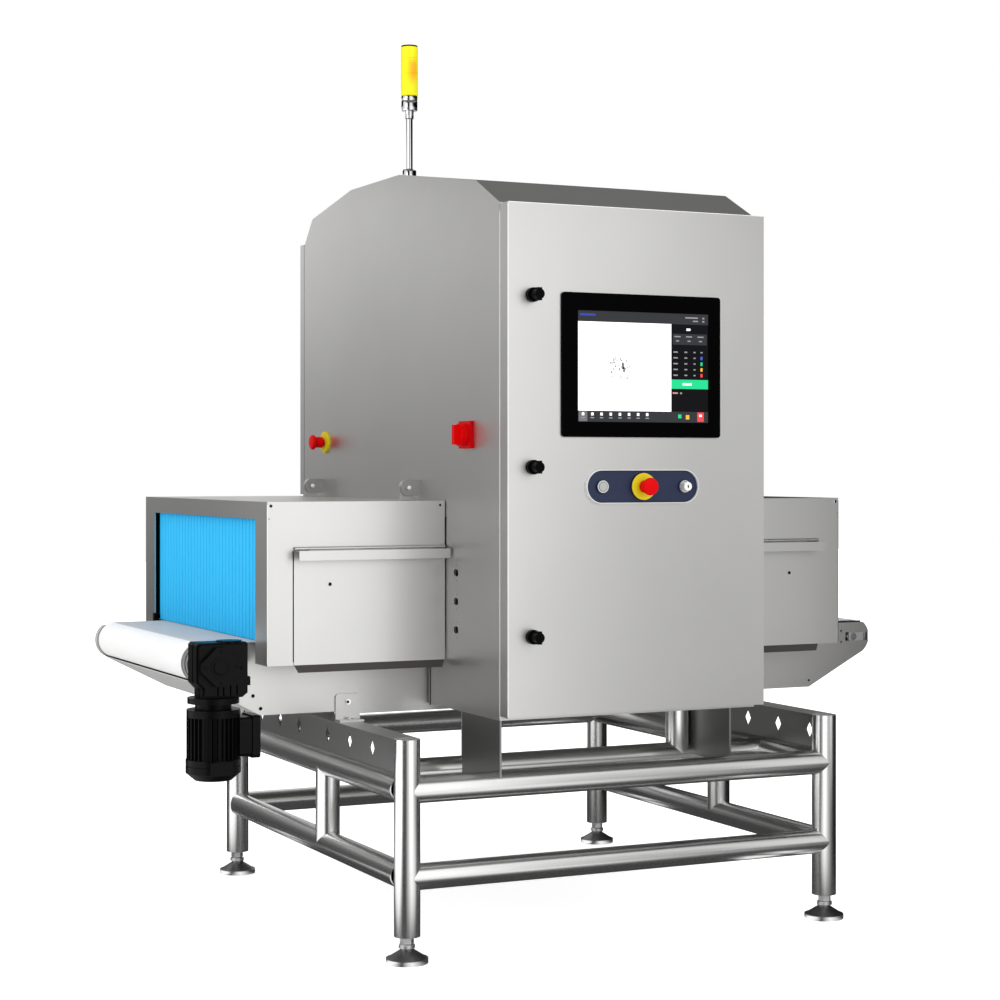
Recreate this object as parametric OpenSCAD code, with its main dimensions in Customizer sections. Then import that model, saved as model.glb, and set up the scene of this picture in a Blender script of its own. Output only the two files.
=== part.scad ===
/* [Base frame] */
// Distance between leg centres along the belt
frame_w = 1144; // [1080:1:1220]
// Rear legs' centres, behind the conveyor's rear plate
rear_leg_behind = 33; // [32:0.5:38]
// Outside diameter of the frame tubes
tube_d = 61; // [56:1:64]
// Wall of the frame tubes
tube_wall = 3; // [2:0.5:5]
// Height of the lower end of the legs
leg_low_z = 63; // [60:1:68]
// Height of the top of the legs
leg_top_z = 516; // [506:1:524]
// Height of the upper rails' centre line
high_rail_z = 397; // [380:1:405]
// Height of the lower rails' centre line
low_rail_z = 197; // [170:1:230]
// Inner cross rail, behind the front legs
inner_rail_back = 290; // [270:1:310]
// Side posts between the side rails, behind the front legs
side_post_back = 510; // [420:1:560]
// Cabinet posts, from the middle of the machine
cabinet_post_x = 313; // [290:1:318]
// The left front cabinet post, further in
left_post_x = 270; // [240:1:274]

/* [Levelling feet] */
// Diameter of the foot pad
foot_d = 98; // [84:1:110]
// Height of the pad's rim
foot_rim_h = 14; // [8:1:16]
// Height at which the pad's cone ends
foot_cone_z = 31; // [24:1:32]
// Diameter of the cone's top
foot_neck_d = 38; // [32:1:44]
// Diameter of the threaded spindle
spindle_d = 18; // [14:1:20]
// Width across flats of the lock nut
nut_af = 30; // [26:1:34]

/* [Side beams] */
// Thickness of the beam's web
beam_web_t = 3; // [3:1:8]
// Thickness of the beam's top flange
beam_flange_t = 5; // [3:1:8]
// Width of a diamond hole
diamond_w = 30; // [20:1:40]
// Height of a diamond hole
diamond_h = 42; // [30:1:46]
// Height of the diamond holes' centre
diamond_z = 471; // [464:1:476]
// First hole from the leg's centre
diamond_first = 64; // [58:1:80]
// Distance between diamond holes
diamond_pitch = 147; // [120:1:150]
// Diamond holes at each end of a beam
diamond_count = 4; // [1:1:4]

/* [Conveyor] */
// Height of the belt's top
belt_top_z = 720; // [716:1:721]
// Thickness of the belt
belt_t = 3; // [2:0.5:4]
// Outside radius of the belt where it turns
belt_r = 47; // [42:1:49]
// Half the distance between the two drums' axes
drum_x = 934; // [920:1:937]
// Front of the front side plate, behind the front legs
plate_back = 395; // [393:1:400]
// Width over the side plates
conveyor_w = 790; // [780:1:794]
// Thickness of the side plates
plate_t = 4; // [3:0.5:6]
// Half the length of the side plates
plate_x = 988; // [984:1:1000]
// Radius of the plates' ends
plate_end_r = 50; // [49:1:53]
// Height of the plates' lower edge
plate_low_z = 540; // [536:1:541]
// Where the plates' lower edge turns up, from the middle
plate_corner_x = 790; // [740:1:820]
// Space between the belt's edge and a side plate
belt_side_gap = 6; // [4:1:12]
// Thickness of the sheet that the belt slides on
bed_t = 3; // [2:0.5:4]
// Thickness of the plate under the tunnel
tunnel_floor_t = 8; // [6:0.5:9]
// Ends of the plate under the tunnel, in from the legs' centres
tunnel_floor_in = 35; // [32:1:70]
// Radius of the drive drum's shaft
drive_shaft_r = 12.5; // [10:0.5:14]
// Radius of the idler drum's shaft
idler_shaft_r = 10; // [8:0.5:11]
// Height of the tension slot
slot_h = 24; // [23:1:30]

/* [Gear motor] */
// Reach of the gearbox from the drum's axis, away from the cabinet
gearbox_left = 52; // [48:1:56]
// Reach of the gearbox from the drum's axis, towards the cabinet
gearbox_right = 74; // [68:1:78]
// Height of the gearbox above the drum's axis
gearbox_up = 56; // [50:1:58]
// Height of the gearbox below the drum's axis
gearbox_down = 74; // [70:1:76]
// Depth of the gearbox
gearbox_depth = 75; // [70:1:82]
// Diameter of the boss against the side plate
gearbox_boss_d = 100; // [92:1:104]
// Diameter of the motor's flange
motor_flange_d = 122; // [114:1:126]
// Diameter over the motor's fins
motor_d = 126; // [118:1:128]
// Number of cooling fins
fin_count = 32; // [20:1:40]
// Length of the finned housing
motor_body_h = 117; // [100:1:140]
// Diameter of the fan cover
fan_cover_d = 130; // [129:1:133]
// Length of the fan cover
fan_cover_h = 50; // [44:1:60]
// Height of the terminal box
terminal_h = 101; // [90:1:106]
// How far the terminal box stands out past the fins
terminal_out = 40; // [34:1:46]

/* [Cabinet] */
// Width over the side panels
cab_w = 696; // [680:1:710]
// Thickness of the side panels
side_t = 5; // [4:0.5:6]
// Thickness of the folded sheets
sheet_t = 3; // [2:0.5:4]
// Front edge of the side panels, ahead of the front legs
cab_ahead = 25; // [20:1:32]
// Rear edge of the side panels, behind the conveyor's rear plate
cab_behind = 99; // [88:1:104]
// Height of the side panels' lower edge
cab_low_z = 553; // [552:1:560]
// Height of the front upper corner
front_top_z = 1760; // [1759:1:1775]
// Front end of the brow, behind the front legs
brow_back = 108; // [80:1:140]
// Height of the brow, above the front upper corner
brow_up = 67; // [50:1:80]
// Front end of the flat roof, behind the front legs
roof_back = 580; // [540:1:600]
// Height of the flat roof, above the front upper corner
roof_up = 138; // [120:1:170]
// Rear end of the flat roof, in from the side panels' rear edge
roof_end_in = 365; // [330:1:420]
// Rear slope's lower end, in from the side panels' rear edge
rear_slope_in = 65; // [45:1:100]
// Height of the rear slope's lower end, above the front upper corner
rear_slope_up = 89; // [70:1:100]
// Height of the rear upper corner, above the front upper corner
rear_top_up = 19; // [5:1:22]
// Thickness of the floor plate
floor_t = 4; // [3:0.5:6]
// Height of the tunnel's inside top
tunnel_top_z = 1026; // [1018:1:1030]
// Wall of the shielding tunnel
tunnel_wall = 5; // [3:0.5:6]

/* [Front door] */
// Width of the door
door_w = 697; // [680:1:700]
// Lower edge of the door, above the side panels' lower edge
door_low_up = 6; // [4:1:12]
// Upper edge of the door, below the front upper corner
door_top_down = 3; // [2:1:20]
// Front of the door, ahead of the front legs
door_ahead = 70; // [66:1:74]
// Depth of the door's folded sides
door_depth = 42; // [38:1:42]
// Thickness of the door's sheet
door_t = 2; // [1.5:0.5:2.5]
// Hinge axis, in from the door's right edge
hinge_in = 9; // [8:0.5:10]
// Hinge axis, behind the door's front
hinge_behind = 29; // [28:0.5:32]
// Monitor bezel's width
monitor_w = 431; // [400:1:450]
// Monitor bezel's height
monitor_h = 340; // [320:1:360]
// Middle of the monitor, right of the machine's middle
monitor_x = 5; // [-10:1:12]
// Height of the monitor's middle
monitor_z = 1382; // [1370:1:1400]
// Screen's width
screen_w = 355; // [320:1:370]
// Screen's height
screen_h = 262; // [240:1:280]
// Control plate's width
control_w = 304; // [280:1:320]
// Control plate's height
control_h = 79; // [74:1:90]
// Height of the control plate's middle
control_z = 1095; // [1080:1:1110]

/* [Shielding hoods] */
// Outer end of a hood, from the middle of the machine
hood_x = 811; // [790:1:815]
// Front of the hoods, behind the front legs
hood_front_back = 285; // [275:1:300]
// Rear of the hoods, behind the conveyor's rear plate
hood_behind = 122; // [110:1:128]
// Height of the hoods' lower edge
hood_low_z = 668; // [655:1:675]
// Height of the hoods' top
hood_top_z = 1058.5; // [1050:0.5:1066]
// Width of the mouth's side borders
mouth_border = 87; // [80:1:94]
// Height of the mouth's upper edge
mouth_top_z = 1016; // [1004:1:1016]
// Hood hinge axis, out from the cabinet's side
hood_hinge_out = 35; // [34:1:38]
// Height of the hood hinge axis
hood_hinge_z = 1089; // [1086:1:1092]
// Radius of the hood hinge's round ends
lug_r = 20; // [18:1:22]
// Distance from the tunnel's middle to a hinge
lug_span = 346; // [320:1:380]
// Curtain's distance behind the mouth
curtain_in = 17; // [16:1:20]
// Strips in a curtain
strip_count = 40; // [30:1:50]

/* [Light tower] */
// Pole's distance from the middle of the machine
tower_x = 309; // [290:1:318]
// Pole's distance behind the front end of the flat roof
tower_behind = 24; // [20:1:60]
// Pole's diameter
pole_d = 16; // [12:1:20]
// Length of the pole
pole_h = 130; // [100:1:180]
// Diameter of the lenses
lens_d = 40; // [34:1:50]
// Height of one lens
lens_h = 48; // [40:1:56]
// Number of lenses
lens_count = 3; // [1:1:4]

/* [Hidden] */
$fn = 48;

// Cuts run past a face by this much
over = 1;
// Gap left for a weld bead or between seated parts
seat_gap = 0.3;
// Radial gap of a turning fit
run_gap = 0.05;
// Gap between parts that move past each other
move_gap = 0.5;

tube_r = tube_d / 2;
leg_cap_t = 4;
leg_plug_h = 30;

// Reach of the front stop button ahead of the front legs, and of the rear latch behind them
stop_reach = 47;
control_plate_t = 3;
front_reach = door_ahead + control_plate_t + stop_reach;
rear_door_depth = 31;
latch_reach = 42;
// The rear door's folded edge needs this room to turn past the cabinet
rear_door_gap = 3;
rear_hinge_out = 20;

// The conveyor sets the depth of the frame, the cabinet and the hoods
plate_rear_back = plate_back + conveyor_w;
frame_d = plate_rear_back + rear_leg_behind;
cab_back = plate_rear_back + cab_behind;
door_low_z = cab_low_z + door_low_up;
door_top_z = front_top_z - door_top_down;
brow_z = front_top_z + brow_up;
roof_z = front_top_z + roof_up;
rear_slope_z = front_top_z + rear_slope_up;
rear_top_z = front_top_z + rear_top_up;
roof_end_back = cab_back - roof_end_in;
rear_slope_back = cab_back - rear_slope_in;
hood_rear_back = plate_rear_back + hood_behind;
tower_back = roof_back + tower_behind;
rear_reach = cab_back + rear_door_gap + rear_door_depth + latch_reach;
gear_reach = drum_x + fan_cover_d / 2;
slot_end_reach = plate_x - plate_end_r + sqrt(plate_end_r * plate_end_r - slot_h * slot_h / 4);
mid_x = (gear_reach - slot_end_reach) / 2;
// The front legs' place puts the middle of the whole machine at zero
front_y = -(rear_reach - front_reach) / 2;
rear_y = front_y + frame_d;
leg_x = frame_w / 2;
tunnel_floor_x = leg_x - tunnel_floor_in;

function fy(back) = front_y + back;

cab_x = cab_w / 2;
inner_x = cab_x - side_t;
cab_front_y = fy(-cab_ahead);
cab_rear_y = fy(cab_back);
floor_z = cab_low_z - floor_t;

plate_front_y = fy(plate_back);
plate_rear_y = plate_front_y + conveyor_w;
tunnel_y = plate_front_y + conveyor_w / 2;
belt_w = conveyor_w - 2 * plate_t - 2 * belt_side_gap;
belt_front_y = tunnel_y - belt_w / 2;
axis_z = belt_top_z - belt_r;
drum_r = belt_r - belt_t - seat_gap;
bed_top_z = belt_top_z - belt_t - seat_gap;

// Clear space between the conveyor and the tunnel's walls
tunnel_side_gap = 6;
tunnel_front_y = plate_front_y - tunnel_side_gap;
tunnel_rear_y = plate_rear_y + tunnel_side_gap;

door_front_y = fy(-door_ahead);
door_back_y = door_front_y + door_depth;
door_x = door_w / 2;
hinge_x = door_x - hinge_in;
hinge_y = door_front_y + hinge_behind;
hinge_pin_r = 4;
hinge_knuckle_r = 8;
// The round knuckles and the leaves stay inside the hinge's radius by these
knuckle_in = 1.5;
leaf_in = 2;
hinge_knuckle_h = 18;
hinge_arm_t = 6;
hinge_share = [0.12, 0.5, 0.88];

// The rear door's lower edge above the panels', and its top past the rear corner
rear_door_up = 510;
rear_door_past = 4;
rear_door_low_z = cab_low_z + rear_door_up;
rear_door_top_z = rear_top_z + rear_door_past;
rear_door_y = cab_rear_y + rear_door_gap;
rear_door_back_y = rear_door_y + rear_door_depth;
rear_hinge_y = cab_rear_y + rear_hinge_out;

hood_front_y = fy(hood_front_back);
hood_rear_y = fy(hood_rear_back);
hood_gap = 2;
hood_in_x = cab_x + hood_gap;
hood_hinge_x = cab_x + hood_hinge_out;
mouth_front_y = hood_front_y + mouth_border;
mouth_rear_y = hood_rear_y - mouth_border;
lug_t = 8;
lug_pin_r = 6;

// The gear motor reaches further than the plates' slotted ends, so the middle of the belt
// lies a little to the right of the middle of the whole machine
module place() {
  translate([mid_x, 0, 0]) children();
}

// A block between two corners
module block(a, b) {
  translate(a) cube(b - a);
}

// A round bar along X, Y or Z from a start point
module bar_x(p, r, h) {
  translate(p) rotate([0, 90, 0]) cylinder(r = r, h = h);
}
module bar_y(p, r, h) {
  translate(p) rotate([-90, 0, 0]) cylinder(r = r, h = h);
}
module bar_z(p, r, h) {
  translate(p) cylinder(r = r, h = h);
}

// A plate with round corners in the XZ plane, its front face at y, going back by t
module round_plate(cx, cz, w, h, r, y, t) {
  translate([cx, y + t, cz])
    rotate([90, 0, 0])
      linear_extrude(t)
        rounded_outline(w, h, r);
}

// A rectangle with round corners drawn with true arcs
module rounded_outline(w, h, r) {
  square([w - 2 * r, h], center = true);
  square([w, h - 2 * r], center = true);
  for (sx = [-1, 1], sy = [-1, 1]) {
    translate([sx * (w / 2 - r), sy * (h / 2 - r)]) circle(r = r);
  }
}

// Both signs of the four legs
module at_legs() {
  for (sx = [-1, 1], y = [front_y, rear_y]) {
    translate([sx * leg_x, y, 0]) children();
  }
}

// Base frame

plug_bore_r = spindle_d / 2 + seat_gap;

module corner_legs() {
  color("silver") place()
    at_legs()
      difference() {
        bar_z([0, 0, leg_low_z], tube_r, leg_top_z - leg_low_z);
        bar_z([0, 0, leg_low_z + leg_plug_h], tube_r - tube_wall,
           leg_top_z - leg_low_z - leg_plug_h - leg_cap_t);
        bar_z([0, 0, leg_low_z - over], plug_bore_r, leg_plug_h + 2 * over);
      }
}

spindle_up = 22;
neck_h = 6;
neck_low = 1;
nut_z = foot_cone_z + neck_h - neck_low;
nut_h = 18;

module foot_pads() {
  color("gainsboro") place()
    at_legs()
      difference() {
        union() {
          cylinder(d = foot_d, h = foot_rim_h);
          translate([0, 0, foot_rim_h])
            cylinder(d1 = foot_d - neck_h, d2 = foot_neck_d, h = foot_cone_z - foot_rim_h, $fn = 64);
          translate([0, 0, foot_cone_z])
            cylinder(d = foot_neck_d - neck_h, h = neck_h - neck_low - seat_gap);
        }
        translate([0, 0, foot_rim_h]) cylinder(r = plug_bore_r, h = foot_cone_z + neck_h);
      }
}

module foot_spindles() {
  color("lightgray") place()
    at_legs()
      translate([0, 0, foot_rim_h + seat_gap])
        cylinder(d = spindle_d, h = leg_low_z + spindle_up - foot_rim_h - seat_gap);
}

module foot_nuts() {
  color("silver") place()
    at_legs()
      translate([0, 0, nut_z])
        difference() {
          cylinder(d = nut_af / cos(30), h = nut_h, $fn = 6);
          translate([0, 0, -over]) cylinder(r = plug_bore_r, h = nut_h + 2 * over);
        }
}

// A hollow rail along X at a height, cut round the legs
module long_rail(y, z) {
  difference() {
    bar_x([-leg_x, y, z], tube_r, frame_w);
    bar_x([-leg_x - over, y, z], tube_r - tube_wall, frame_w + 2 * over);
    for (sx = [-1, 1]) {
      bar_z([sx * leg_x, y, z - tube_d], tube_r + seat_gap, 2 * tube_d);
    }
  }
}

inner_rail_y = fy(inner_rail_back);

module long_rails() {
  color("silver") place() {
    for (y = [front_y, rear_y], z = [low_rail_z, high_rail_z]) {
      long_rail(y, z);
    }
    inner_rail();
  }
}

// The cross rail under the cabinet, cut round the side rails
module inner_rail() {
  difference() {
    bar_x([-leg_x, inner_rail_y, high_rail_z], tube_r, frame_w);
    bar_x([-leg_x - over, inner_rail_y, high_rail_z], tube_r - tube_wall, frame_w + 2 * over);
    for (sx = [-1, 1]) {
      bar_y([sx * leg_x, inner_rail_y - tube_d, high_rail_z], tube_r + seat_gap, 2 * tube_d);
    }
  }
}

// A hollow rail along Y, cut round the legs and the long rails
module side_rail(x, z) {
  difference() {
    bar_y([x, front_y, z], tube_r, frame_d);
    bar_y([x, front_y - over, z], tube_r - tube_wall, frame_d + 2 * over);
    for (y = [front_y, rear_y]) {
      bar_z([x, y, z - tube_d], tube_r + seat_gap, 2 * tube_d);
      bar_x([x - tube_d, y, z], tube_r + seat_gap, 2 * tube_d);
    }
  }
}

module side_rails() {
  color("silver") place()
    for (sx = [-1, 1], z = [low_rail_z, high_rail_z]) {
      side_rail(sx * leg_x, z);
    }
}

// An upright tube that stands on a rail; both ends are cut round what they meet
module post(x, y, low, high) {
  difference() {
    bar_z([x, y, low], tube_r, high - low);
    bar_z([x, y, low - over], tube_r - tube_wall, high - low + 2 * over);
    children();
  }
}

module frame_posts() {
  side_post_y = fy(side_post_back);
  color("silver") place() {
    for (sx = [-1, 1]) {
      post(sx * leg_x, side_post_y, low_rail_z, high_rail_z) {
        for (z = [low_rail_z, high_rail_z]) {
          bar_y([sx * leg_x, side_post_y - tube_d, z], tube_r + seat_gap, 2 * tube_d);
        }
      }
      for (y = [inner_rail_y, rear_y]) {
        x = sx < 0 && y < rear_y ? -left_post_x : sx * cabinet_post_x;
        post(x, y, high_rail_z, floor_z) {
          bar_x([x - tube_d, y, high_rail_z], tube_r + seat_gap, 2 * tube_d);
        }
      }
    }
  }
}

// The left plate's rear end and the right plate's front end, behind the front legs
left_gusset_end = 187;
right_gusset_start = 82;

// A plate in line with a side panel, between the rails and the floor
module gusset_plate(x, from, to) {
  difference() {
    block([x, fy(from), high_rail_z], [x + side_t, fy(to), floor_z]);
    for (y = [front_y, inner_rail_y]) {
      bar_x([x - over, y, high_rail_z], tube_r + seat_gap, side_t + 2 * over);
    }
    bar_z([cabinet_post_x, inner_rail_y, high_rail_z - over], tube_r + seat_gap, floor_z);
  }
}

module gusset_plates() {
  color("dimgray") place() {
    gusset_plate(-cab_x, -cab_ahead, left_gusset_end);
    gusset_plate(inner_x, right_gusset_start, inner_rail_back);
  }
}

// A diamond with nearly straight sides, after the curve |x/a|^p + |y/b|^p = 1
bow_share = 1.06;

module diamond(w, h) {
  steps = 32;
  bow = 2 / bow_share;
  polygon([for (i = [0:steps - 1])
    let (a = i * 360 / steps, c = cos(a), s = sin(a))
    [sign(c) * pow(abs(c), bow) * w / 2, sign(s) * pow(abs(s), bow) * h / 2]]);
}

beam_low_z = high_rail_z + tube_r + seat_gap;

module side_beams() {
  beam_start = front_y + tube_r + seat_gap;
  beam_end = rear_y - tube_r - seat_gap;
  color("gray") place()
    for (sx = [-1, 1]) {
      difference() {
        union() {
          block([sx * leg_x - beam_web_t / 2, beam_start, beam_low_z],
             [sx * leg_x + beam_web_t / 2, beam_end, leg_top_z - beam_flange_t]);
          block([sx * leg_x - tube_r, front_y, leg_top_z - beam_flange_t],
             [sx * leg_x + tube_r, rear_y, leg_top_z]);
        }
        for (y = [front_y, rear_y]) {
          bar_z([sx * leg_x, y, beam_low_z], tube_r + seat_gap, leg_top_z);
        }
        for (i = [0:diamond_count - 1], end = [0, 1]) {
          d = diamond_first + i * diamond_pitch;
          translate([sx * leg_x - beam_web_t, end == 0 ? front_y + d : rear_y - d, diamond_z])
            rotate([90, 0, 90])
              linear_extrude(2 * beam_web_t)
                diamond(diamond_w, diamond_h);
        }
      }
    }
}

// Brackets that hold the conveyor on the beams

bracket_w = 64;
bracket_t = 5;
bracket_h = 67;
bracket_foot = 34;
bracket_in = 7;
bracket_r = 9;
bracket_x = leg_x - bracket_in;
bolt_r = 4;
bolt_head_r = 6.5;
bolt_head_h = 4;
bolt_low = 20;

module conveyor_bracket() {
  difference() {
    union() {
      rotate([90, 0, 0]) linear_extrude(bracket_t) {
        translate([0, leg_top_z + bracket_h / 2]) rounded_outline(bracket_w, bracket_h, bracket_r);
        translate([-bracket_w / 2, leg_top_z]) square([bracket_w, bracket_h / 2]);
      }
      block([-bracket_w / 2, -bracket_foot, leg_top_z], [bracket_w / 2, 0, leg_top_z + bracket_t]);
    }
    bar_y([0, -bracket_t - over, leg_top_z + bracket_h - bolt_low], bolt_r + seat_gap, bracket_t + 2 * over);
    bar_z([0, -bracket_foot / 2 - bracket_t / 2, leg_top_z - over], bolt_r + seat_gap, bracket_t + 2 * over);
  }
}

module at_brackets() {
  for (sx = [-1, 1]) {
    translate([sx * bracket_x, plate_front_y, 0]) children();
    translate([sx * bracket_x, plate_rear_y, 0]) mirror([0, 1, 0]) children();
  }
}

module conveyor_brackets() {
  color("lightgray") place() at_brackets() conveyor_bracket();
}

// A bolt through a bracket, its head on the far side
module bracket_bolt() {
  cylinder(r = bolt_r, h = bracket_t + bolt_head_h / 2);
  translate([0, 0, bracket_t]) cylinder(r = bolt_head_r, h = bolt_head_h);
}

module bracket_bolts() {
  color("silver") place()
    at_brackets() {
      translate([0, 0, leg_top_z + bracket_h - bolt_low]) rotate([90, 0, 0]) bracket_bolt();
      translate([0, -bracket_foot / 2 - bracket_t / 2, leg_top_z]) bracket_bolt();
    }
}

// Cabinet

// The side view of the cabinet's outline, as Y and Z
function cabinet_outline() = [
  [cab_front_y, cab_low_z],
  [cab_front_y, front_top_z],
  [fy(brow_back), brow_z],
  [fy(roof_back), roof_z],
  [fy(roof_end_back), roof_z],
  [fy(rear_slope_back), rear_slope_z],
  [cab_rear_y, rear_top_z],
  [cab_rear_y, cab_low_z]
];

// A flat shape drawn in Y and Z, given a thickness along X
module side_sheet(x, t) {
  translate([x, 0, 0])
    rotate([90, 0, 90])
      linear_extrude(t)
        children();
}

socket_back = 226;
socket_r = 9;
socket_up = 191;
socket_z = cab_low_z + socket_up;
socket_pitch = 70;
socket_count = 3;
// The switches' heights above the panel's lower edge, and their places from its edges
switch_back = 153;
switch_up = 666;
switch_z = cab_low_z + switch_up;
side_stop_in = 172;
side_stop_back = cab_back - side_stop_in;
side_stop_up = 658;
side_stop_z = cab_low_z + side_stop_up;
stop_shaft_r = 8;
switch_shaft_r = 6;

module left_side_panel() {
  color("gray") place()
    difference() {
      side_panel(-cab_x);
      for (i = [0:socket_count - 1]) {
        bar_x([-cab_x - over, fy(socket_back), socket_z + i * socket_pitch], socket_r, side_t + 2 * over);
      }
      bar_x([-cab_x - over, fy(side_stop_back), side_stop_z], stop_shaft_r + move_gap, side_t + 2 * over);
      bar_x([-cab_x - over, fy(switch_back), switch_z], switch_shaft_r + move_gap, side_t + 2 * over);
    }
}

module right_side_panel() {
  color("silver") place() side_panel(inner_x);
}

module side_panel(x) {
  difference() {
    side_sheet(x, side_t) polygon(cabinet_outline());
    block([x - over, tunnel_front_y, cab_low_z - over],
       [x + side_t + over, tunnel_rear_y, tunnel_top_z]);
  }
}

// The roof follows the outline between the side panels
roof_path = [
  [cab_front_y, front_top_z],
  [fy(brow_back), brow_z],
  [fy(roof_back), roof_z],
  [fy(roof_end_back), roof_z],
  [fy(rear_slope_back), rear_slope_z],
  [cab_rear_y, rear_top_z]
];

// The sheet's height over its thickness, since the roof slopes
roof_fall_share = 1.1;

module roof_panel() {
  color("dimgray") place()
    difference() {
      side_sheet(-inner_x, 2 * inner_x)
        polygon(concat(roof_path, [for (i = [len(roof_path) - 1:-1:0])
          [roof_path[i][0], roof_path[i][1] - sheet_t * roof_fall_share]]));
      bar_z([-tower_x, fy(tower_back), roof_z - tube_d], pole_d / 2 + seat_gap, 2 * tube_d);
    }
}

frame_border = 46;
frame_return = 18;
frame_set_back = 2;

module front_frame() {
  y = cab_front_y + frame_set_back;
  open_x = inner_x - frame_border;
  low = cab_low_z + frame_border;
  high = front_top_z - frame_border - 2 * sheet_t;
  color("silver") place()
    difference() {
      union() {
        block([-inner_x, y, cab_low_z], [inner_x, y + sheet_t, front_top_z - 2 * sheet_t]);
        block([-open_x - sheet_t, y, low - sheet_t], [open_x + sheet_t, y + frame_return, high + sheet_t]);
      }
      block([-open_x, y - over, low], [open_x, y + frame_return + over, high]);
    }
}

rear_open_border = 50;

module rear_panel() {
  y = cab_rear_y - sheet_t;
  color("gray") place()
    difference() {
      block([-inner_x, y, cab_low_z], [inner_x, cab_rear_y, rear_top_z - 2 * sheet_t]);
      block([-inner_x + rear_open_border, y - over, rear_door_low_z + rear_open_border],
         [inner_x - rear_open_border, cab_rear_y + over, rear_top_z - rear_open_border]);
    }
}

module cabinet_floor() {
  color("dimgray") place() {
    block([-cab_x, cab_front_y, floor_z], [cab_x, tunnel_front_y, cab_low_z]);
    block([-cab_x, tunnel_rear_y, floor_z], [cab_x, cab_rear_y, cab_low_z]);
  }
}

// Shielding tunnel inside the cabinet, open to both hoods
slit_half = 8;
slit_margin = 55;

module tunnel_liner() {
  color("lightsteelblue") place()
    difference() {
      block([-inner_x, tunnel_front_y - tunnel_wall, cab_low_z],
         [inner_x, tunnel_rear_y + tunnel_wall, tunnel_top_z + tunnel_wall]);
      block([-inner_x - over, tunnel_front_y, cab_low_z - over],
         [inner_x + over, tunnel_rear_y, tunnel_top_z]);
      block([-slit_half, tunnel_front_y + slit_margin, tunnel_top_z - over],
         [slit_half, tunnel_rear_y - slit_margin, tunnel_top_z + tunnel_wall + over]);
    }
}

module tunnel_floor() {
  color("lightgray") place()
    block([-tunnel_floor_x, plate_front_y, plate_low_z - tunnel_floor_t],
       [tunnel_floor_x, rear_y - tube_r - tunnel_side_gap, plate_low_z]);
}

// X-ray source above the tunnel

liner_top_z = tunnel_top_z + tunnel_wall;
horn_h = 290;
horn_top_half = 60;
horn_half_x = 32;
horn_wall = 4;
horn_z = liner_top_z + horn_h;
cradle_rail = 40;
cradle_span = 150;
source_w = 360;
source_d = 400;
source_h = 320;
source_rib = 12;

module collimator() {
  half = (tunnel_rear_y - tunnel_front_y) / 2 - slit_margin + 2 * horn_wall;
  color("slategray") place()
    difference() {
      side_sheet(-horn_half_x, 2 * horn_half_x)
        horn_shape(half, horn_top_half, 0);
      side_sheet(-slit_half, 2 * slit_half)
        horn_shape(half - 2 * horn_wall, horn_top_half - 2 * horn_wall, over);
    }
}

module horn_shape(low_half, top_half, extra) {
  polygon([
    [tunnel_y - low_half, liner_top_z - extra],
    [tunnel_y + low_half, liner_top_z - extra],
    [tunnel_y + top_half, horn_z + extra],
    [tunnel_y - top_half, horn_z + extra]
  ]);
}

module generator_cradle() {
  color("dimgray") place()
    for (sy = [-1, 1]) {
      difference() {
        block([-inner_x, tunnel_y + sy * cradle_span - cradle_rail / 2, horn_z - cradle_rail],
           [inner_x, tunnel_y + sy * cradle_span + cradle_rail / 2, horn_z]);
        block([-inner_x - over, tunnel_y + sy * cradle_span - cradle_rail / 2 + sheet_t, horn_z - cradle_rail - over],
           [inner_x + over, tunnel_y + sy * cradle_span + cradle_rail / 2 - sheet_t, horn_z - sheet_t]);
      }
    }
}

module xray_generator() {
  color("lightgray") place() {
    block([-source_w / 2, tunnel_y - source_d / 2, horn_z],
       [source_w / 2, tunnel_y + source_d / 2, horn_z + source_h]);
    for (i = [0:6]) {
      x = (i / 3 - 1) * (source_w / 2 - 2 * source_rib);
      block([x - source_rib / 4, tunnel_y - source_d / 2 + source_rib, horn_z + source_h],
         [x + source_rib / 4, tunnel_y + source_d / 2 - source_rib, horn_z + source_h + 2 * source_rib]);
    }
  }
}

detector_half = 55;
detector_low_gap = 10;

module detector_array() {
  low = axis_z - belt_r + detector_low_gap;
  color("darkslategray") place()
    block([-detector_half, plate_front_y + plate_t + bed_t + seat_gap, low],
       [detector_half, plate_rear_y - plate_t - bed_t - seat_gap, bed_top_z - bed_t - seat_gap]);
}

// Electrical plate behind the front door

upright_w = 30;
mount_t = 3;
// The plate stands clear of the side panels, the floor and the roof by these
mount_side = 43;
mount_foot = 47;
mount_head = 70;
upright_head = 30;
mount_half = inner_x - mount_side;
mount_low = cab_low_z + mount_foot;
mount_high = front_top_z - mount_head;
mount_space = 18;
upright_top = front_top_z - upright_head;

module mounting_plate() {
  y = tunnel_front_y - tunnel_wall - mount_space;
  color("lightgray") place() {
    for (sx = [-1, 1]) {
      block([sx * mount_half - upright_w / 2, y, cab_low_z],
         [sx * mount_half + upright_w / 2, y + mount_space - move_gap, upright_top]);
    }
    block([-mount_half - upright_w / 2, y - mount_t, mount_low], [mount_half + upright_w / 2, y, mount_high]);
  }
}

// Share of the mounting plate for each module: left, low, right, high
module_shares = [
  [0.08, 0.78, 0.52, 0.95],
  [0.58, 0.78, 0.92, 0.95],
  [0.08, 0.56, 0.30, 0.70],
  [0.34, 0.56, 0.66, 0.70],
  [0.70, 0.56, 0.92, 0.70],
  [0.08, 0.34, 0.40, 0.48],
  [0.46, 0.34, 0.92, 0.48],
  [0.08, 0.12, 0.34, 0.26],
  [0.40, 0.12, 0.92, 0.20]
];
duct_shares = [0.30, 0.52, 0.74];
module_depth = 70;
duct_w = 36;

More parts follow.
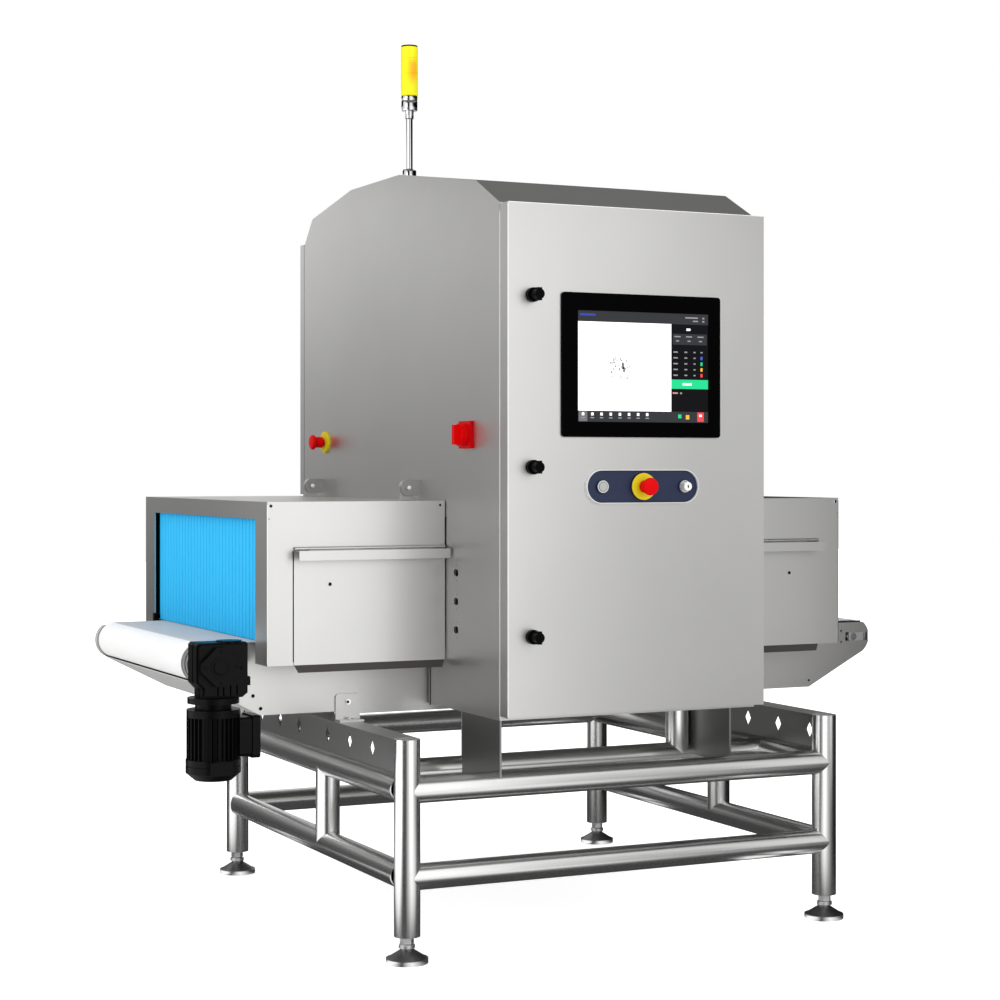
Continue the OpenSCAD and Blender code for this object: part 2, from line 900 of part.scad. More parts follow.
module control_modules() {
  y = tunnel_front_y - tunnel_wall - mount_space - mount_t;
  w = 2 * mount_half;
  h = mount_high - mount_low;
  color("darkslategray") place() {
    for (m = module_shares) {
      block([-mount_half + m[0] * w, y - module_depth, mount_low + m[1] * h],
         [-mount_half + m[2] * w, y, mount_low + m[3] * h]);
    }
    for (z = duct_shares) {
      block([-mount_half + duct_w, y - duct_w, mount_low + z * h - duct_w / 2],
         [mount_half - duct_w, y, mount_low + z * h + duct_w / 2]);
    }
  }
}

// Light tower

tower_flange_d = 36;
tower_flange_h = 8;
collar_d = 22;
collar_h = 20;
socket_d = 36;
socket_h = 40;
lens_gap = 1;
tower_z = roof_z;

module tower_pole() {
  top = tower_z + tower_flange_h + pole_h;
  color("silver") place()
    translate([-tower_x, fy(tower_back), 0]) {
      bar_z([0, 0, tower_z], tower_flange_d / 2, tower_flange_h);
      bar_z([0, 0, tower_z - 2 * tower_flange_h], pole_d / 2, top - tower_z + 2 * tower_flange_h);
      bar_z([0, 0, top], collar_d / 2, collar_h);
      bar_z([0, 0, top + collar_h], socket_d / 2, socket_h);
    }
}

module tower_lenses() {
  low = tower_z + tower_flange_h + pole_h + collar_h + socket_h;
  color("gold") place()
    translate([-tower_x, fy(tower_back), low])
      for (i = [0:lens_count - 1]) {
        translate([0, 0, i * lens_h]) {
          cylinder(d = lens_d, h = lens_h - lens_gap);
          translate([0, 0, lens_h - lens_gap]) cylinder(d = lens_d - 2 * lens_gap, h = lens_gap);
        }
      }
}

// Hood hinges on the cabinet's sides

module at_lugs() {
  for (sy = [-1, 1]) {
    translate([0, tunnel_y + sy * lug_span - lug_t, 0]) children();
  }
}

module hood_lug() {
  difference() {
    union() {
      bar_y([-hood_hinge_x, 0, hood_hinge_z], lug_r, lug_t);
      block([-hood_hinge_x, 0, hood_hinge_z - lug_r], [-cab_x, lug_t, hood_hinge_z + lug_r]);
    }
    bar_y([-hood_hinge_x, -over, hood_hinge_z], lug_pin_r + run_gap, lug_t + 2 * over);
  }
  bar_y([-hood_hinge_x, -lug_pin_head, hood_hinge_z], lug_pin_r, 2 * lug_t + 2 * lug_pin_head + move_gap);
}

lug_pin_head = 4;

module hood_lugs() {
  color("silver") place()
    at_lugs() {
      hood_lug();
      mirror([1, 0, 0]) hood_lug();
    }
}

// Switches on the left side

stop_ring_d = 60;
stop_ring_h = 6;
stop_head_r = 21;
stop_travel = 5;
switch_base = 66;
switch_base_t = 10;
switch_reach = 40;
switch_rim = 6;
grip_w = 14;
grip_h = 14;
grip_in = 3;

module side_switch_plates() {
  color("gold") place()
    difference() {
      bar_x([-cab_x - stop_ring_h, fy(side_stop_back), side_stop_z], stop_ring_d / 2, stop_ring_h);
      bar_x([-cab_x - stop_ring_h - over, fy(side_stop_back), side_stop_z], stop_shaft_r + move_gap,
         stop_ring_h + 2 * over);
    }
  color("firebrick") place()
    difference() {
      block([-cab_x - switch_base_t, fy(switch_back) - switch_base / 2, switch_z - switch_base / 2],
         [-cab_x, fy(switch_back) + switch_base / 2, switch_z + switch_base / 2]);
      bar_x([-cab_x - switch_base_t - over, fy(switch_back), switch_z], switch_shaft_r + move_gap,
         switch_base_t + 2 * over);
    }
}

// A mushroom head and its stem, pointing along -Y from the origin
module stop_button(reach, ring_h, stem_in) {
  head_h = reach - ring_h - stop_travel - 2 * move_gap;
  rotate([90, 0, 0])
    rotate_extrude()
      polygon(concat(
        [[0, -stem_in], [stop_shaft_r, -stem_in], [stop_shaft_r, reach - head_h],
         [stop_head_r * stop_foot_share, reach - head_h]],
        [for (i = [0:6]) let (a = -90 + i * 30)
          [stop_head_r - stop_round + stop_round * cos(a),
           reach - stop_round - stop_crown + stop_round * sin(a)]],
        [[0, reach]]
      ));
}

stop_foot_share = 0.72;
stop_round = 6;
stop_crown = 2;
stem_inside = 30;

module front_estop_button() {
  color("red") place()
    translate([stop_x, door_front_y - control_plate_t, control_z])
      stop_button(stop_reach, front_ring_h, stem_inside);
}

module side_estop_button() {
  color("red") place()
    translate([-cab_x, fy(side_stop_back), side_stop_z])
      rotate([0, 0, -90])
        stop_button(stop_reach, stop_ring_h, stem_inside);
}

module main_switch_handle() {
  r = switch_base / 2 - switch_rim;
  low = switch_base_t + move_gap;
  color("red") place()
    translate([-cab_x, fy(switch_back), switch_z]) {
      bar_x([-switch_reach + grip_h, 0, 0], r, switch_reach - grip_h - low);
      bar_x([-low - over, 0, 0], switch_shaft_r, low + over + 2 * side_t);
      block([-switch_reach, -grip_w / 2, -r + grip_in], [-switch_reach + grip_h, grip_w / 2, r - grip_in]);
    }
}

// Front door with its monitor and controls

stop_x = 6;
start_x = -104;
key_x = 119;
start_r = 11;
key_r = 11;
bezel_r = 14.5;
bezel_t = 4;
start_out = 8;
key_out = 6;
key_reach = 22;
key_t = 3;
key_w = 14;
front_ring_h = 6;
control_corner_share = 0.49;
// The bezel overlaps the door round the monitor's body by this
monitor_lap = 20;
monitor_body_w = monitor_w - 2 * monitor_lap;
monitor_body_h = monitor_h - 2 * monitor_lap;
monitor_corner_r = 8;
monitor_bezel_t = 6;
monitor_body_depth = 72;
latch_x = -286;
latch_zs = [746, 1141, 1542];
latch_shaft_r = 7;
// Width of the rim folded inward behind the door, which carries the gasket
door_flange = 36;

module front_door() {
  color("gainsboro") place()
    difference() {
      union() {
        difference() {
          block([-door_x, door_front_y, door_low_z], [door_x, door_back_y, door_top_z]);
          block([-door_x + door_t, door_front_y + door_t, door_low_z + door_t],
             [door_x - door_t, door_back_y - door_t, door_top_z - door_t]);
          block([-door_x + door_flange, door_front_y + door_t, door_low_z + door_flange],
             [door_x - door_flange, door_back_y + over, door_top_z - door_flange]);
        }
        for (s = hinge_share) {
          door_leaf(door_low_z + s * (door_top_z - door_low_z));
        }
      }
      block([monitor_x - monitor_body_w / 2 - seat_gap, door_front_y - over, monitor_z - monitor_body_h / 2 - seat_gap],
         [monitor_x + monitor_body_w / 2 + seat_gap, door_front_y + door_t + over,
          monitor_z + monitor_body_h / 2 + seat_gap]);
      for (z = latch_zs) {
        bar_y([latch_x, door_front_y - over, z], latch_shaft_r + move_gap, door_t + 2 * over);
      }
      control_holes(door_front_y, door_t);
      for (s = hinge_share) {
        z = door_low_z + s * (door_top_z - door_low_z);
        hinge_notch(z);
      }
    }
}

// Clears the door's folded side where the fixed hinge arm passes when the door is open
module hinge_notch(z) {
  block([hinge_x - hinge_knuckle_r, hinge_y - hinge_knuckle_r, z - hinge_knuckle_h / 2 - move_gap],
     [door_x + over, door_back_y + over, z + hinge_knuckle_h / 2 + move_gap]);
}

// Knuckles on the door above and below the fixed one
module door_leaf(z) {
  for (s = [-1, 1]) {
    low = s > 0 ? z + hinge_knuckle_h / 2 + move_gap : z - hinge_knuckle_h * 1.5 - move_gap;
    difference() {
      union() {
        bar_z([hinge_x, hinge_y, low], hinge_knuckle_r - knuckle_in, hinge_knuckle_h);
        block([hinge_x - 3 * hinge_knuckle_r, door_front_y + door_t, low],
           [hinge_x + hinge_knuckle_r - leaf_in, hinge_y, low + hinge_knuckle_h]);
      }
      bar_z([hinge_x, hinge_y, low - over], hinge_pin_r + run_gap, hinge_knuckle_h + 2 * over);
    }
  }
}

module hinge_brackets() {
  rear_z_span = rear_door_top_z - rear_door_low_z;
  color("silver") place() {
    for (s = hinge_share) {
      fixed_knuckle(hinge_x, hinge_y, cab_front_y + frame_set_back, door_low_z + s * (door_top_z - door_low_z));
      fixed_knuckle(hinge_x, rear_hinge_y, cab_rear_y, rear_door_low_z + s * rear_z_span);
    }
  }
}

// A fixed arm from the cabinet to the hinge axis, with its pin
module fixed_knuckle(x, y, wall_y, z) {
  low = z - hinge_knuckle_h / 2;
  difference() {
    union() {
      bar_z([x, y, low], hinge_knuckle_r - knuckle_in, hinge_knuckle_h);
      block([x - hinge_arm_t / 2, min(y, wall_y), low], [x + hinge_arm_t / 2, max(y, wall_y), low + hinge_knuckle_h]);
    }
    bar_z([x, y, low - over], hinge_pin_r + run_gap, hinge_knuckle_h + 2 * over);
  }
  bar_z([x, y, z - 1.5 * hinge_knuckle_h], hinge_pin_r, 3 * hinge_knuckle_h);
}

gasket_w = 10;

module door_gasket() {
  y = door_back_y;
  front_gap = cab_front_y + frame_set_back - door_back_y;
  half = inner_x - frame_border / 2;
  w = gasket_w / 2;
  low = cab_low_z + frame_border / 2;
  high = door_top_z - frame_border / 2;
  color("black") place()
    difference() {
      block([-half - w, y, low - w], [half + w, y + front_gap - seat_gap, high + w]);
      block([-half + w, y - over, low + w], [half - w, y + front_gap + over, high - w]);
    }
}

module monitor_housing() {
  color("black") place()
    difference() {
      union() {
        round_plate(monitor_x, monitor_z, monitor_w, monitor_h, monitor_corner_r, door_front_y - monitor_bezel_t, monitor_bezel_t);
        block([monitor_x - monitor_body_w / 2, door_front_y - over, monitor_z - monitor_body_h / 2],
           [monitor_x + monitor_body_w / 2, door_front_y + monitor_body_depth, monitor_z + monitor_body_h / 2]);
      }
      block([monitor_x + screen_off - screen_w / 2, door_front_y - monitor_bezel_t - over, monitor_z - screen_h / 2 - screen_down],
         [monitor_x + screen_off + screen_w / 2, door_front_y - monitor_bezel_t + screen_t,
          monitor_z + screen_h / 2 - screen_down]);
    }
}

screen_off = 4;
screen_down = 3;
screen_t = 2.5;
screen_in = 1;

module screen_glass() {
  color("darkslateblue") place()
    block([monitor_x + screen_off - screen_w / 2, door_front_y - monitor_bezel_t + screen_in, monitor_z - screen_h / 2 - screen_down],
       [monitor_x + screen_off + screen_w / 2, door_front_y - monitor_bezel_t + screen_t,
        monitor_z + screen_h / 2 - screen_down]);
}

// Holes for the three controls, through a wall that starts at y
module control_holes(y, t) {
  bar_y([stop_x, y - over, control_z], stop_shaft_r + move_gap, t + 2 * over);
  bar_y([start_x, y - over, control_z], start_r + move_gap, t + 2 * over);
  bar_y([key_x, y - over, control_z], key_r + move_gap, t + 2 * over);
}

module control_plate() {
  y = door_front_y - control_plate_t;
  color("midnightblue") place()
    difference() {
      round_plate(stop_x, control_z, control_w, control_h, control_h * control_corner_share, y, control_plate_t);
      control_holes(y, control_plate_t);
    }
  color("gold") place()
    difference() {
      bar_y([stop_x, y - front_ring_h, control_z], stop_ring_d / 2, front_ring_h);
      control_holes(y - front_ring_h, front_ring_h);
    }
  color("silver") place()
    for (x = [start_x, key_x]) {
      difference() {
        bar_y([x, y - bezel_t, control_z], bezel_r, bezel_t);
        control_holes(y - bezel_t, bezel_t);
      }
    }
}

module start_button() {
  color("silver") place()
    bar_y([start_x, door_front_y - control_plate_t - start_out, control_z], start_r, start_out + stem_inside - over);
}

module key_switch() {
  y = door_front_y - control_plate_t;
  color("silver") place() {
    bar_y([key_x, y - key_out, control_z], key_r, key_out + stem_inside - over);
    block([key_x - key_t / 2, y - key_reach, control_z - key_w / 2],
       [key_x + key_t / 2, y - key_out, control_z + key_w / 2]);
  }
}

// A quarter-turn latch: round knob with a wing, shaft, and a cam behind the door
knob_r = 17;
knob_step = 5;
base_h = 12;
wing = 11;
wing_in = 2;
wing_h = 16;
cam_in = 2;
cam_t = 4;
cam_w = 18;
cam_reach = 24;

module door_latch(y, z, wall) {
  color("black") place()
    translate([latch_x, y, z]) {
      bar_y([0, -base_h - seat_gap, 0], knob_r, base_h);
      bar_y([0, -latch_reach, 0], knob_r - knob_step, latch_reach - base_h);
      bar_y([0, -seat_gap - over, 0], latch_shaft_r, wall + cam_in + cam_t + over);
      block([-wing / 2, -latch_reach, -knob_r + wing_in], [wing / 2, -latch_reach + wing_h, knob_r - wing_in]);
      block([-cam_w / 2, wall + cam_in, -cam_w / 2], [cam_w / 2, wall + cam_in + cam_t, cam_reach]);
    }
}

module latch_top() { door_latch(door_front_y, latch_zs[2], door_t); }
module latch_middle() { door_latch(door_front_y, latch_zs[1], door_t); }
module latch_bottom() { door_latch(door_front_y, latch_zs[0], door_t); }

// Rear cover over the x-ray source

module rear_door() {
  color("silver") place()
    difference() {
      union() {
        difference() {
          block([-cab_x, rear_door_y, rear_door_low_z], [cab_x, rear_door_back_y, rear_door_top_z]);
          block([-cab_x + door_t, rear_door_y - over, rear_door_low_z + door_t],
             [cab_x - door_t, rear_door_back_y - door_t, rear_door_top_z - door_t]);
        }
        for (s = hinge_share) {
          rear_leaf(rear_door_low_z + s * (rear_door_top_z - rear_door_low_z));
        }
      }
      bar_y([latch_x, rear_door_back_y - door_t - over, rear_latch_z], latch_shaft_r + move_gap, door_t + 2 * over);
      for (s = hinge_share) {
        z = rear_door_low_z + s * (rear_door_top_z - rear_door_low_z);
        block([hinge_x + hinge_knuckle_r - leaf_in, rear_door_y - over, z - hinge_knuckle_h / 2 - move_gap],
           [cab_x + over, rear_hinge_y + hinge_knuckle_r, z + hinge_knuckle_h / 2 + move_gap]);
      }
    }
}

rear_latch_z = 1400;

module rear_leaf(z) {
  for (s = [-1, 1]) {
    low = s > 0 ? z + hinge_knuckle_h / 2 + move_gap : z - hinge_knuckle_h * 1.5 - move_gap;
    difference() {
      union() {
        bar_z([hinge_x, rear_hinge_y, low], hinge_knuckle_r - knuckle_in, hinge_knuckle_h);
        block([hinge_x - 3 * hinge_knuckle_r, rear_hinge_y, low],
           [hinge_x + hinge_knuckle_r - leaf_in, rear_door_back_y - door_t, low + hinge_knuckle_h]);
      }
      bar_z([hinge_x, rear_hinge_y, low - over], hinge_pin_r + run_gap, hinge_knuckle_h + 2 * over);
    }
  }
}

module rear_latch() {
  mirror([0, 1, 0]) door_latch(-rear_door_back_y, rear_latch_z, door_t);
}

// Shielding hoods, each drawn for the left side

// The access door's outer edge, in from the hood's end, and its top, below the hood's
access_out_in = 67;
access_out_x = hood_x - access_out_in;
access_side_gap = 4;
access_in_x = cab_x + access_side_gap;
access_low_z = hood_low_z;
access_down = 116.5;
access_top_z = hood_top_z - access_down;
access_t = 2;
access_gap = 0.5;
access_border = 10;
lip_out = 36;
lip_drop = 23;
hinge_bar_r = 4;
hinge_wire_r = 2;
access_hinge_y = hood_front_y - hinge_bar_r - access_gap;
access_hinge_z = access_top_z + hinge_bar_r + access_gap;
end_knuckle = 36;

rod_x = hood_x - curtain_in;
rod_down = 26.5;
rod_z = hood_top_z - rod_down;
rod_r = 7;
rod_cup_r = 12;
rod_cup_t = 8;

module hood_shell() {
  difference() {
    union() {
      difference() {
        block([-hood_x, hood_front_y, hood_low_z], [-hood_in_x, hood_rear_y, hood_top_z]);
        block([-hood_x + sheet_t, hood_front_y + sheet_t, hood_low_z - over],
           [-hood_in_x + over, hood_rear_y - sheet_t, hood_top_z - sheet_t]);
        block([-hood_x - over, mouth_front_y, hood_low_z - over], [-hood_x + sheet_t + over, mouth_rear_y, mouth_top_z]);
        block([-access_out_x + access_border, hood_front_y - over, access_low_z + access_border],
           [-access_in_x - access_border, hood_front_y + sheet_t + over, access_top_z - access_border]);
      }
      translate([0, lug_t + move_gap, 0]) at_lugs() hood_ear();
      for (y = [hood_front_y + sheet_t, hood_rear_y - sheet_t - rod_cup_t]) {
        bar_y([-rod_x, y, rod_z], rod_cup_r, rod_cup_t);
      }
      hood_knuckles();
    }
    translate([0, lug_t + move_gap, 0])
      at_lugs()
        bar_y([-hood_hinge_x, -over, hood_hinge_z], lug_pin_r + run_gap, lug_t + 2 * over);
    bar_y([-rod_x, hood_front_y + sheet_t, rod_z], rod_r + run_gap, hood_rear_y - hood_front_y - 2 * sheet_t);
    bar_x([-access_out_x - over, access_hinge_y, access_hinge_z], hinge_wire_r + run_gap,
       access_out_x - access_in_x + 2 * over);
  }
  bar_x([-access_out_x, access_hinge_y, access_hinge_z], hinge_wire_r, access_out_x - access_in_x);
}

module hood_ear() {
  bar_y([-hood_hinge_x, 0, hood_hinge_z], lug_r, lug_t);
  block([-hood_hinge_x - lug_r, 0, hood_top_z - sheet_t], [-hood_hinge_x + lug_r, lug_t, hood_hinge_z]);
}

// Hinge knuckles on the hood's front, at both ends of the access door
module hood_knuckles() {
  for (x = [-access_out_x, -access_in_x - end_knuckle]) {
    bar_x([x, access_hinge_y, access_hinge_z], hinge_bar_r, end_knuckle);
    block([x, access_hinge_y, access_hinge_z], [x + end_knuckle, hood_front_y + over, access_hinge_z + hinge_bar_r]);
  }
}

module left_hood() {
  color("gainsboro") place() hood_shell();
}
module right_hood() {
  color("silver") place() mirror([1, 0, 0]) hood_shell();
}

curtain_t = 3;
curtain_low_gap = 4;
curtain_side_gap = 4;
strip_cut = 0.8;
curtain_head = 26;

module curtain() {
  low = belt_top_z + curtain_low_gap;
  y0 = mouth_front_y + curtain_side_gap;
  y1 = mouth_rear_y - curtain_side_gap;
  pitch = (y1 - y0) / strip_count;
  bar_y([-rod_x, hood_front_y + sheet_t + move_gap, rod_z], rod_r, hood_rear_y - hood_front_y - 2 * sheet_t - 2 * move_gap);
  difference() {
    block([-rod_x - curtain_t / 2, y0, low], [-rod_x + curtain_t / 2, y1, rod_z]);
    for (i = [1:strip_count - 1]) {
      block([-rod_x - curtain_t, y0 + i * pitch - strip_cut / 2, low - over],
         [-rod_x + curtain_t, y0 + i * pitch + strip_cut / 2, rod_z - curtain_head]);
    }
  }
}

module left_curtain() {
  color("deepskyblue") place() curtain();
}
module right_curtain() {
  color("deepskyblue") place() mirror([1, 0, 0]) curtain();
}

// Access door with its folded lip, hanging from the hinge wire
module access_door() {
  y1 = hood_front_y - access_gap;
  y0 = y1 - access_t;
  middle_x = -access_out_x + end_knuckle + move_gap;
  middle_w = access_out_x - access_in_x - 2 * end_knuckle - 2 * move_gap;
  difference() {
    union() {
      block([-access_out_x, y0, access_low_z], [-access_in_x, y1, access_top_z]);
      block([-access_out_x, y0 - lip_out, access_top_z - access_t], [-access_in_x, y1, access_top_z]);
      block([-access_out_x, y0 - lip_out, access_top_z - lip_drop],
         [-access_in_x, y0 - lip_out + access_t, access_top_z]);
      bar_x([middle_x, access_hinge_y, access_hinge_z], hinge_bar_r, middle_w);
      block([middle_x, access_hinge_y - access_t / 2, access_top_z - access_t],
         [middle_x + middle_w, access_hinge_y + access_t / 2, access_hinge_z]);
      access_skirt();
    }
    bar_x([middle_x - over, access_hinge_y, access_hinge_z], hinge_wire_r + run_gap, middle_w + 2 * over);
  }
}

// Sloping rubber skirt along the door's lower edge
skirt_drop = 34;
skirt_out = 10;

module access_skirt() {
  y0 = hood_front_y - access_gap - access_t;
  translate([-access_out_x, 0, 0])
    rotate([90, 0, 90])
      linear_extrude(access_out_x - access_in_x)
        polygon([
          [y0, access_low_z + access_t],
          [y0 + access_t, access_low_z + access_t],
          [y0 + access_t - skirt_out, access_low_z - skirt_drop],
          [y0 - skirt_out, access_low_z - skirt_drop]
        ]);
}

module left_access_door() {
  color("gainsboro") place() access_door();
}
module right_access_door() {
  color("silver") place() mirror([1, 0, 0]) access_door();
}

// Conveyor

plate_top_down = 8;
plate_top_z = belt_top_z - plate_top_down;
plate_end_x = plate_x - plate_end_r;

// One side plate's outline in X and Z
module plate_outline() {
  difference() {
    union() {
      translate([-plate_end_x, axis_z - plate_end_r]) square([2 * plate_end_x, plate_top_z - axis_z + plate_end_r]);
      for (sx = [-1, 1]) {
        translate([sx * plate_end_x, axis_z]) circle(r = plate_end_r);
      }
      polygon([
        [-plate_corner_x, plate_low_z], [plate_corner_x, plate_low_z],
        [plate_end_x + plate_end_r * turn_out_share, axis_z - plate_end_r * turn_down_share],
        [-plate_end_x - plate_end_r * turn_out_share, axis_z - plate_end_r * turn_down_share]
      ]);
    }
    translate([-plate_x - over, plate_top_z]) square([2 * plate_x + 2 * over, 2 * plate_end_r]);
    translate([-drum_x, axis_z]) circle(r = drive_shaft_r + shaft_clear);
    translate([drum_x - slot_h, axis_z - slot_h / 2]) square([2 * plate_end_r, slot_h]);
    for (p = plate_hole_places) {
      translate(p) circle(r = plate_hole_r);
    }
  }
}

// The lower edge meets the round end at these shares of its radius
turn_out_share = 0.6;
turn_down_share = 0.8;
shaft_clear = 3;
plate_hole_r = 3;
plate_hole_in = 42;
plate_hole_up = 16;
plate_hole_down = 14;
corner_hole_up = 18;
plate_hole_places = [
  [plate_end_x - plate_hole_in, axis_z + plate_hole_up],
  [plate_end_x - plate_hole_in, axis_z - plate_hole_down],
  [plate_corner_x, plate_low_z + corner_hole_up]
];

module conveyor_plates() {
  color("silver") place()
    for (y = [plate_front_y + plate_t, plate_rear_y]) {
      translate([0, y, 0])
        rotate([90, 0, 0])
          linear_extrude(plate_t)
            plate_outline();
    }
}

bed_end_gap = 14;
bed_x = drum_x - belt_r - bed_end_gap;
bed_flange = 40;

module slider_bed() {
  y0 = plate_front_y + plate_t;
  y1 = plate_rear_y - plate_t;
  color("silver") place() {
    difference() {
      block([-bed_x, y0, bed_top_z - bed_flange], [bed_x, y1, bed_top_z]);
      block([-bed_x - over, y0 + bed_t, bed_top_z - bed_flange - over], [bed_x + over, y1 - bed_t, bed_top_z - bed_t]);
      block([-slit_half, tunnel_front_y + slit_margin, bed_top_z - bed_t - over],
         [slit_half, tunnel_rear_y - slit_margin, bed_top_z + over]);
    }
  }
}

// The loop's side view, as X and Z
module loop_outline(r) {
  translate([-drum_x, axis_z]) circle(r = r, $fn = 96);
  translate([drum_x, axis_z]) circle(r = r, $fn = 96);
  translate([-drum_x, axis_z - r]) square([2 * drum_x, 2 * r]);
}

module conveyor_belt() {
  color("white") place()
    translate([0, belt_front_y + belt_w, 0])
      rotate([90, 0, 0])
        linear_extrude(belt_w)
          difference() {
            loop_outline(belt_r);
            loop_outline(belt_r - belt_t);
          }
}

module drive_drum() {
  color("silver") place() {
    bar_y([-drum_x, belt_front_y, axis_z], drum_r, belt_w);
    bar_y([-drum_x, plate_front_y - gearbox_depth - boss_h + over, axis_z], drive_shaft_r,
       conveyor_w + gearbox_depth + boss_h + bearing_t + shaft_past - over);
  }
}

bearing_t = 12;
bearing_r = 34;
shaft_past = 4;
idler_past = 5;
block_out = 3;
block_in = 2;
block_back = 2;
block_w = 34;
block_t = 12;
boss_h = 47;

module idler_drum() {
  color("silver") place() {
    bar_y([drum_x, belt_front_y, axis_z], drum_r, belt_w);
    bar_y([drum_x, plate_front_y - idler_past, axis_z], idler_shaft_r, conveyor_w + 2 * idler_past);
  }
}

// The bearing flange at the drive drum's rear, and the sliding blocks in the tension slots
module drum_bearings() {
  slide_h = slot_h - 2 * seat_gap;
  color("dimgray") place() {
    difference() {
      bar_y([-drum_x, plate_rear_y, axis_z], bearing_r, bearing_t);
      bar_y([-drum_x, plate_rear_y - over, axis_z], drive_shaft_r + run_gap, bearing_t + 2 * over);
    }
    for (y = [plate_front_y - block_out, plate_rear_y + block_out - plate_t - block_in]) {
      difference() {
        block([drum_x - slot_h / 2 - block_back, y, axis_z - slide_h / 2],
           [drum_x + block_w, y + plate_t + block_in, axis_z + slide_h / 2]);
        bar_y([drum_x, y - over, axis_z], idler_shaft_r + run_gap, plate_t + block_in + 2 * over);
      }
    }
  }
}

cover_t = 2;
cover_gap = 1;
lip_out_share = 0.4;
lip_down_share = 0.95;

// Sloping covers under the belt's ends
module end_covers() {
  color("lightgray") place()
    for (sx = [-1, 1]) {
      translate([0, plate_rear_y - plate_t, 0])
        rotate([90, 0, 0])
          linear_extrude(conveyor_w - 2 * plate_t)
            polygon([
              [sx * (tunnel_floor_x + cover_gap), plate_low_z],
              [sx * plate_corner_x, plate_low_z],
              [sx * (plate_end_x + plate_end_r * lip_out_share), axis_z - plate_end_r * lip_down_share],
              [sx * (plate_end_x + plate_end_r * lip_out_share),
               axis_z - plate_end_r * lip_down_share + cover_t],
              [sx * plate_corner_x, plate_low_z + cover_t],
              [sx * (tunnel_floor_x + cover_gap), plate_low_z + cover_t]
            ]);
    }
}

// Right-angle gearbox on the drive drum's shaft

// The casing's front view, as shares of its reach left or right and up or down of the axis
casing_shares = [[-1, 0.9], [-0.9, 1], [0.94, 1], [1, 0.93], [1, -0.86], [0.82, -1],
         [-0.7, -1], [-0.7, -0.74], [-1, -0.52]];
core_share = 0.92;
// Depth of the casing's rear block, its groove and its front block
rear_block = 33;
casing_groove = 6;
front_block = 25;
boss_neck_r = 43;
boss_ring = 14;
gear_cover_t = 14;
gear_cover_reach = 46;
gear_cover_flat = 10.5;
hub_r = 24;
hub_t = 2;
cap_r = 30;
cap_right = 36;
cap_t = 3;
lug_out = 10;
lug_low = 48;
lug_h = 21;
lug_depth = 17;
// Gaps between the ribs under the cover, with their places as shares of the reach right
rib_shares = [-0.06, 0.13, 0.36, 0.57];
rib_gap = 3.5;
rib_depth = 9;
rib_low = 44;

// A slice of the casing that starts in front of the boss and goes forward
module casing(start, depth, share) {
  translate([-drum_x, plate_front_y - boss_h - start, axis_z])
    rotate([90, 0, 0])
      linear_extrude(depth)
        polygon([for (p = casing_shares)
          share * [p[0] * (p[0] < 0 ? gearbox_left : gearbox_right),
               p[1] * (p[1] < 0 ? gearbox_down : gearbox_up)]]);
}

module gearbox() {
  x = -drum_x;
  front = plate_front_y - boss_h - gearbox_depth;
  mid_y = plate_front_y - boss_h - gearbox_depth / 2;
  c = gear_cover_reach;
  f = gear_cover_flat;
  color("black") place()
    difference() {
      union() {
        casing(0, gearbox_depth, core_share);
        casing(0, rear_block, 1);
        casing(rear_block + casing_groove, front_block, 1);
        bar_y([x, plate_front_y - boss_h - over, axis_z], boss_neck_r, boss_h + over - seat_gap);
        for (y = [plate_front_y - boss_h - over, plate_front_y - boss_ring - seat_gap]) {
          bar_y([x, y, axis_z], gearbox_boss_d / 2, boss_ring);
        }
        translate([x, front, axis_z])
          rotate([90, 0, 0])
            linear_extrude(gear_cover_t)
              polygon([[c, -f], [c, f], [f, c], [-f, c], [-c, f], [-c, -f], [-f, -c], [f, -c]]);
        bar_y([x, front - gear_cover_t - hub_t, axis_z], hub_r, hub_t + over);
        bar_z([x + cap_right, mid_y, axis_z + gearbox_up * core_share - over], cap_r,
           gearbox_up * (1 - core_share) + over + cap_t);
        block([x + gearbox_right - over, mid_y - lug_depth, axis_z - lug_low],
           [x + gearbox_right + lug_out, mid_y, axis_z - lug_low + lug_h]);
      }
      bar_y([x, front, axis_z], drive_shaft_r + run_gap, gearbox_depth + boss_h + over);
      for (share = rib_shares) {
        block([x + share * gearbox_right, front - over, axis_z - gearbox_down],
           [x + share * gearbox_right + rib_gap, front + rib_depth, axis_z - rib_low]);
      }
    }
}

motor_out = 78;
motor_y = plate_front_y - motor_out;
motor_top_z = axis_z - gearbox_down;
motor_flange_t = 14;
motor_neck_r = 43;
motor_neck_h = 14;
motor_ring_h = 18;
fin_h = 8;
fin_t = 2.4;
fin_in = 2;
pad_w = 20;
pad_turn = -30;
// The fan cover's upper band, its straight skirt, its groove and its taper
fan_band = 14;
fan_skirt = 32;
fan_groove = 2.5;
fan_taper = 21;
fan_panel_w = 56;
box_w = 84;
box_r = 9;
box_lid = 19;
lid_lap = 4;

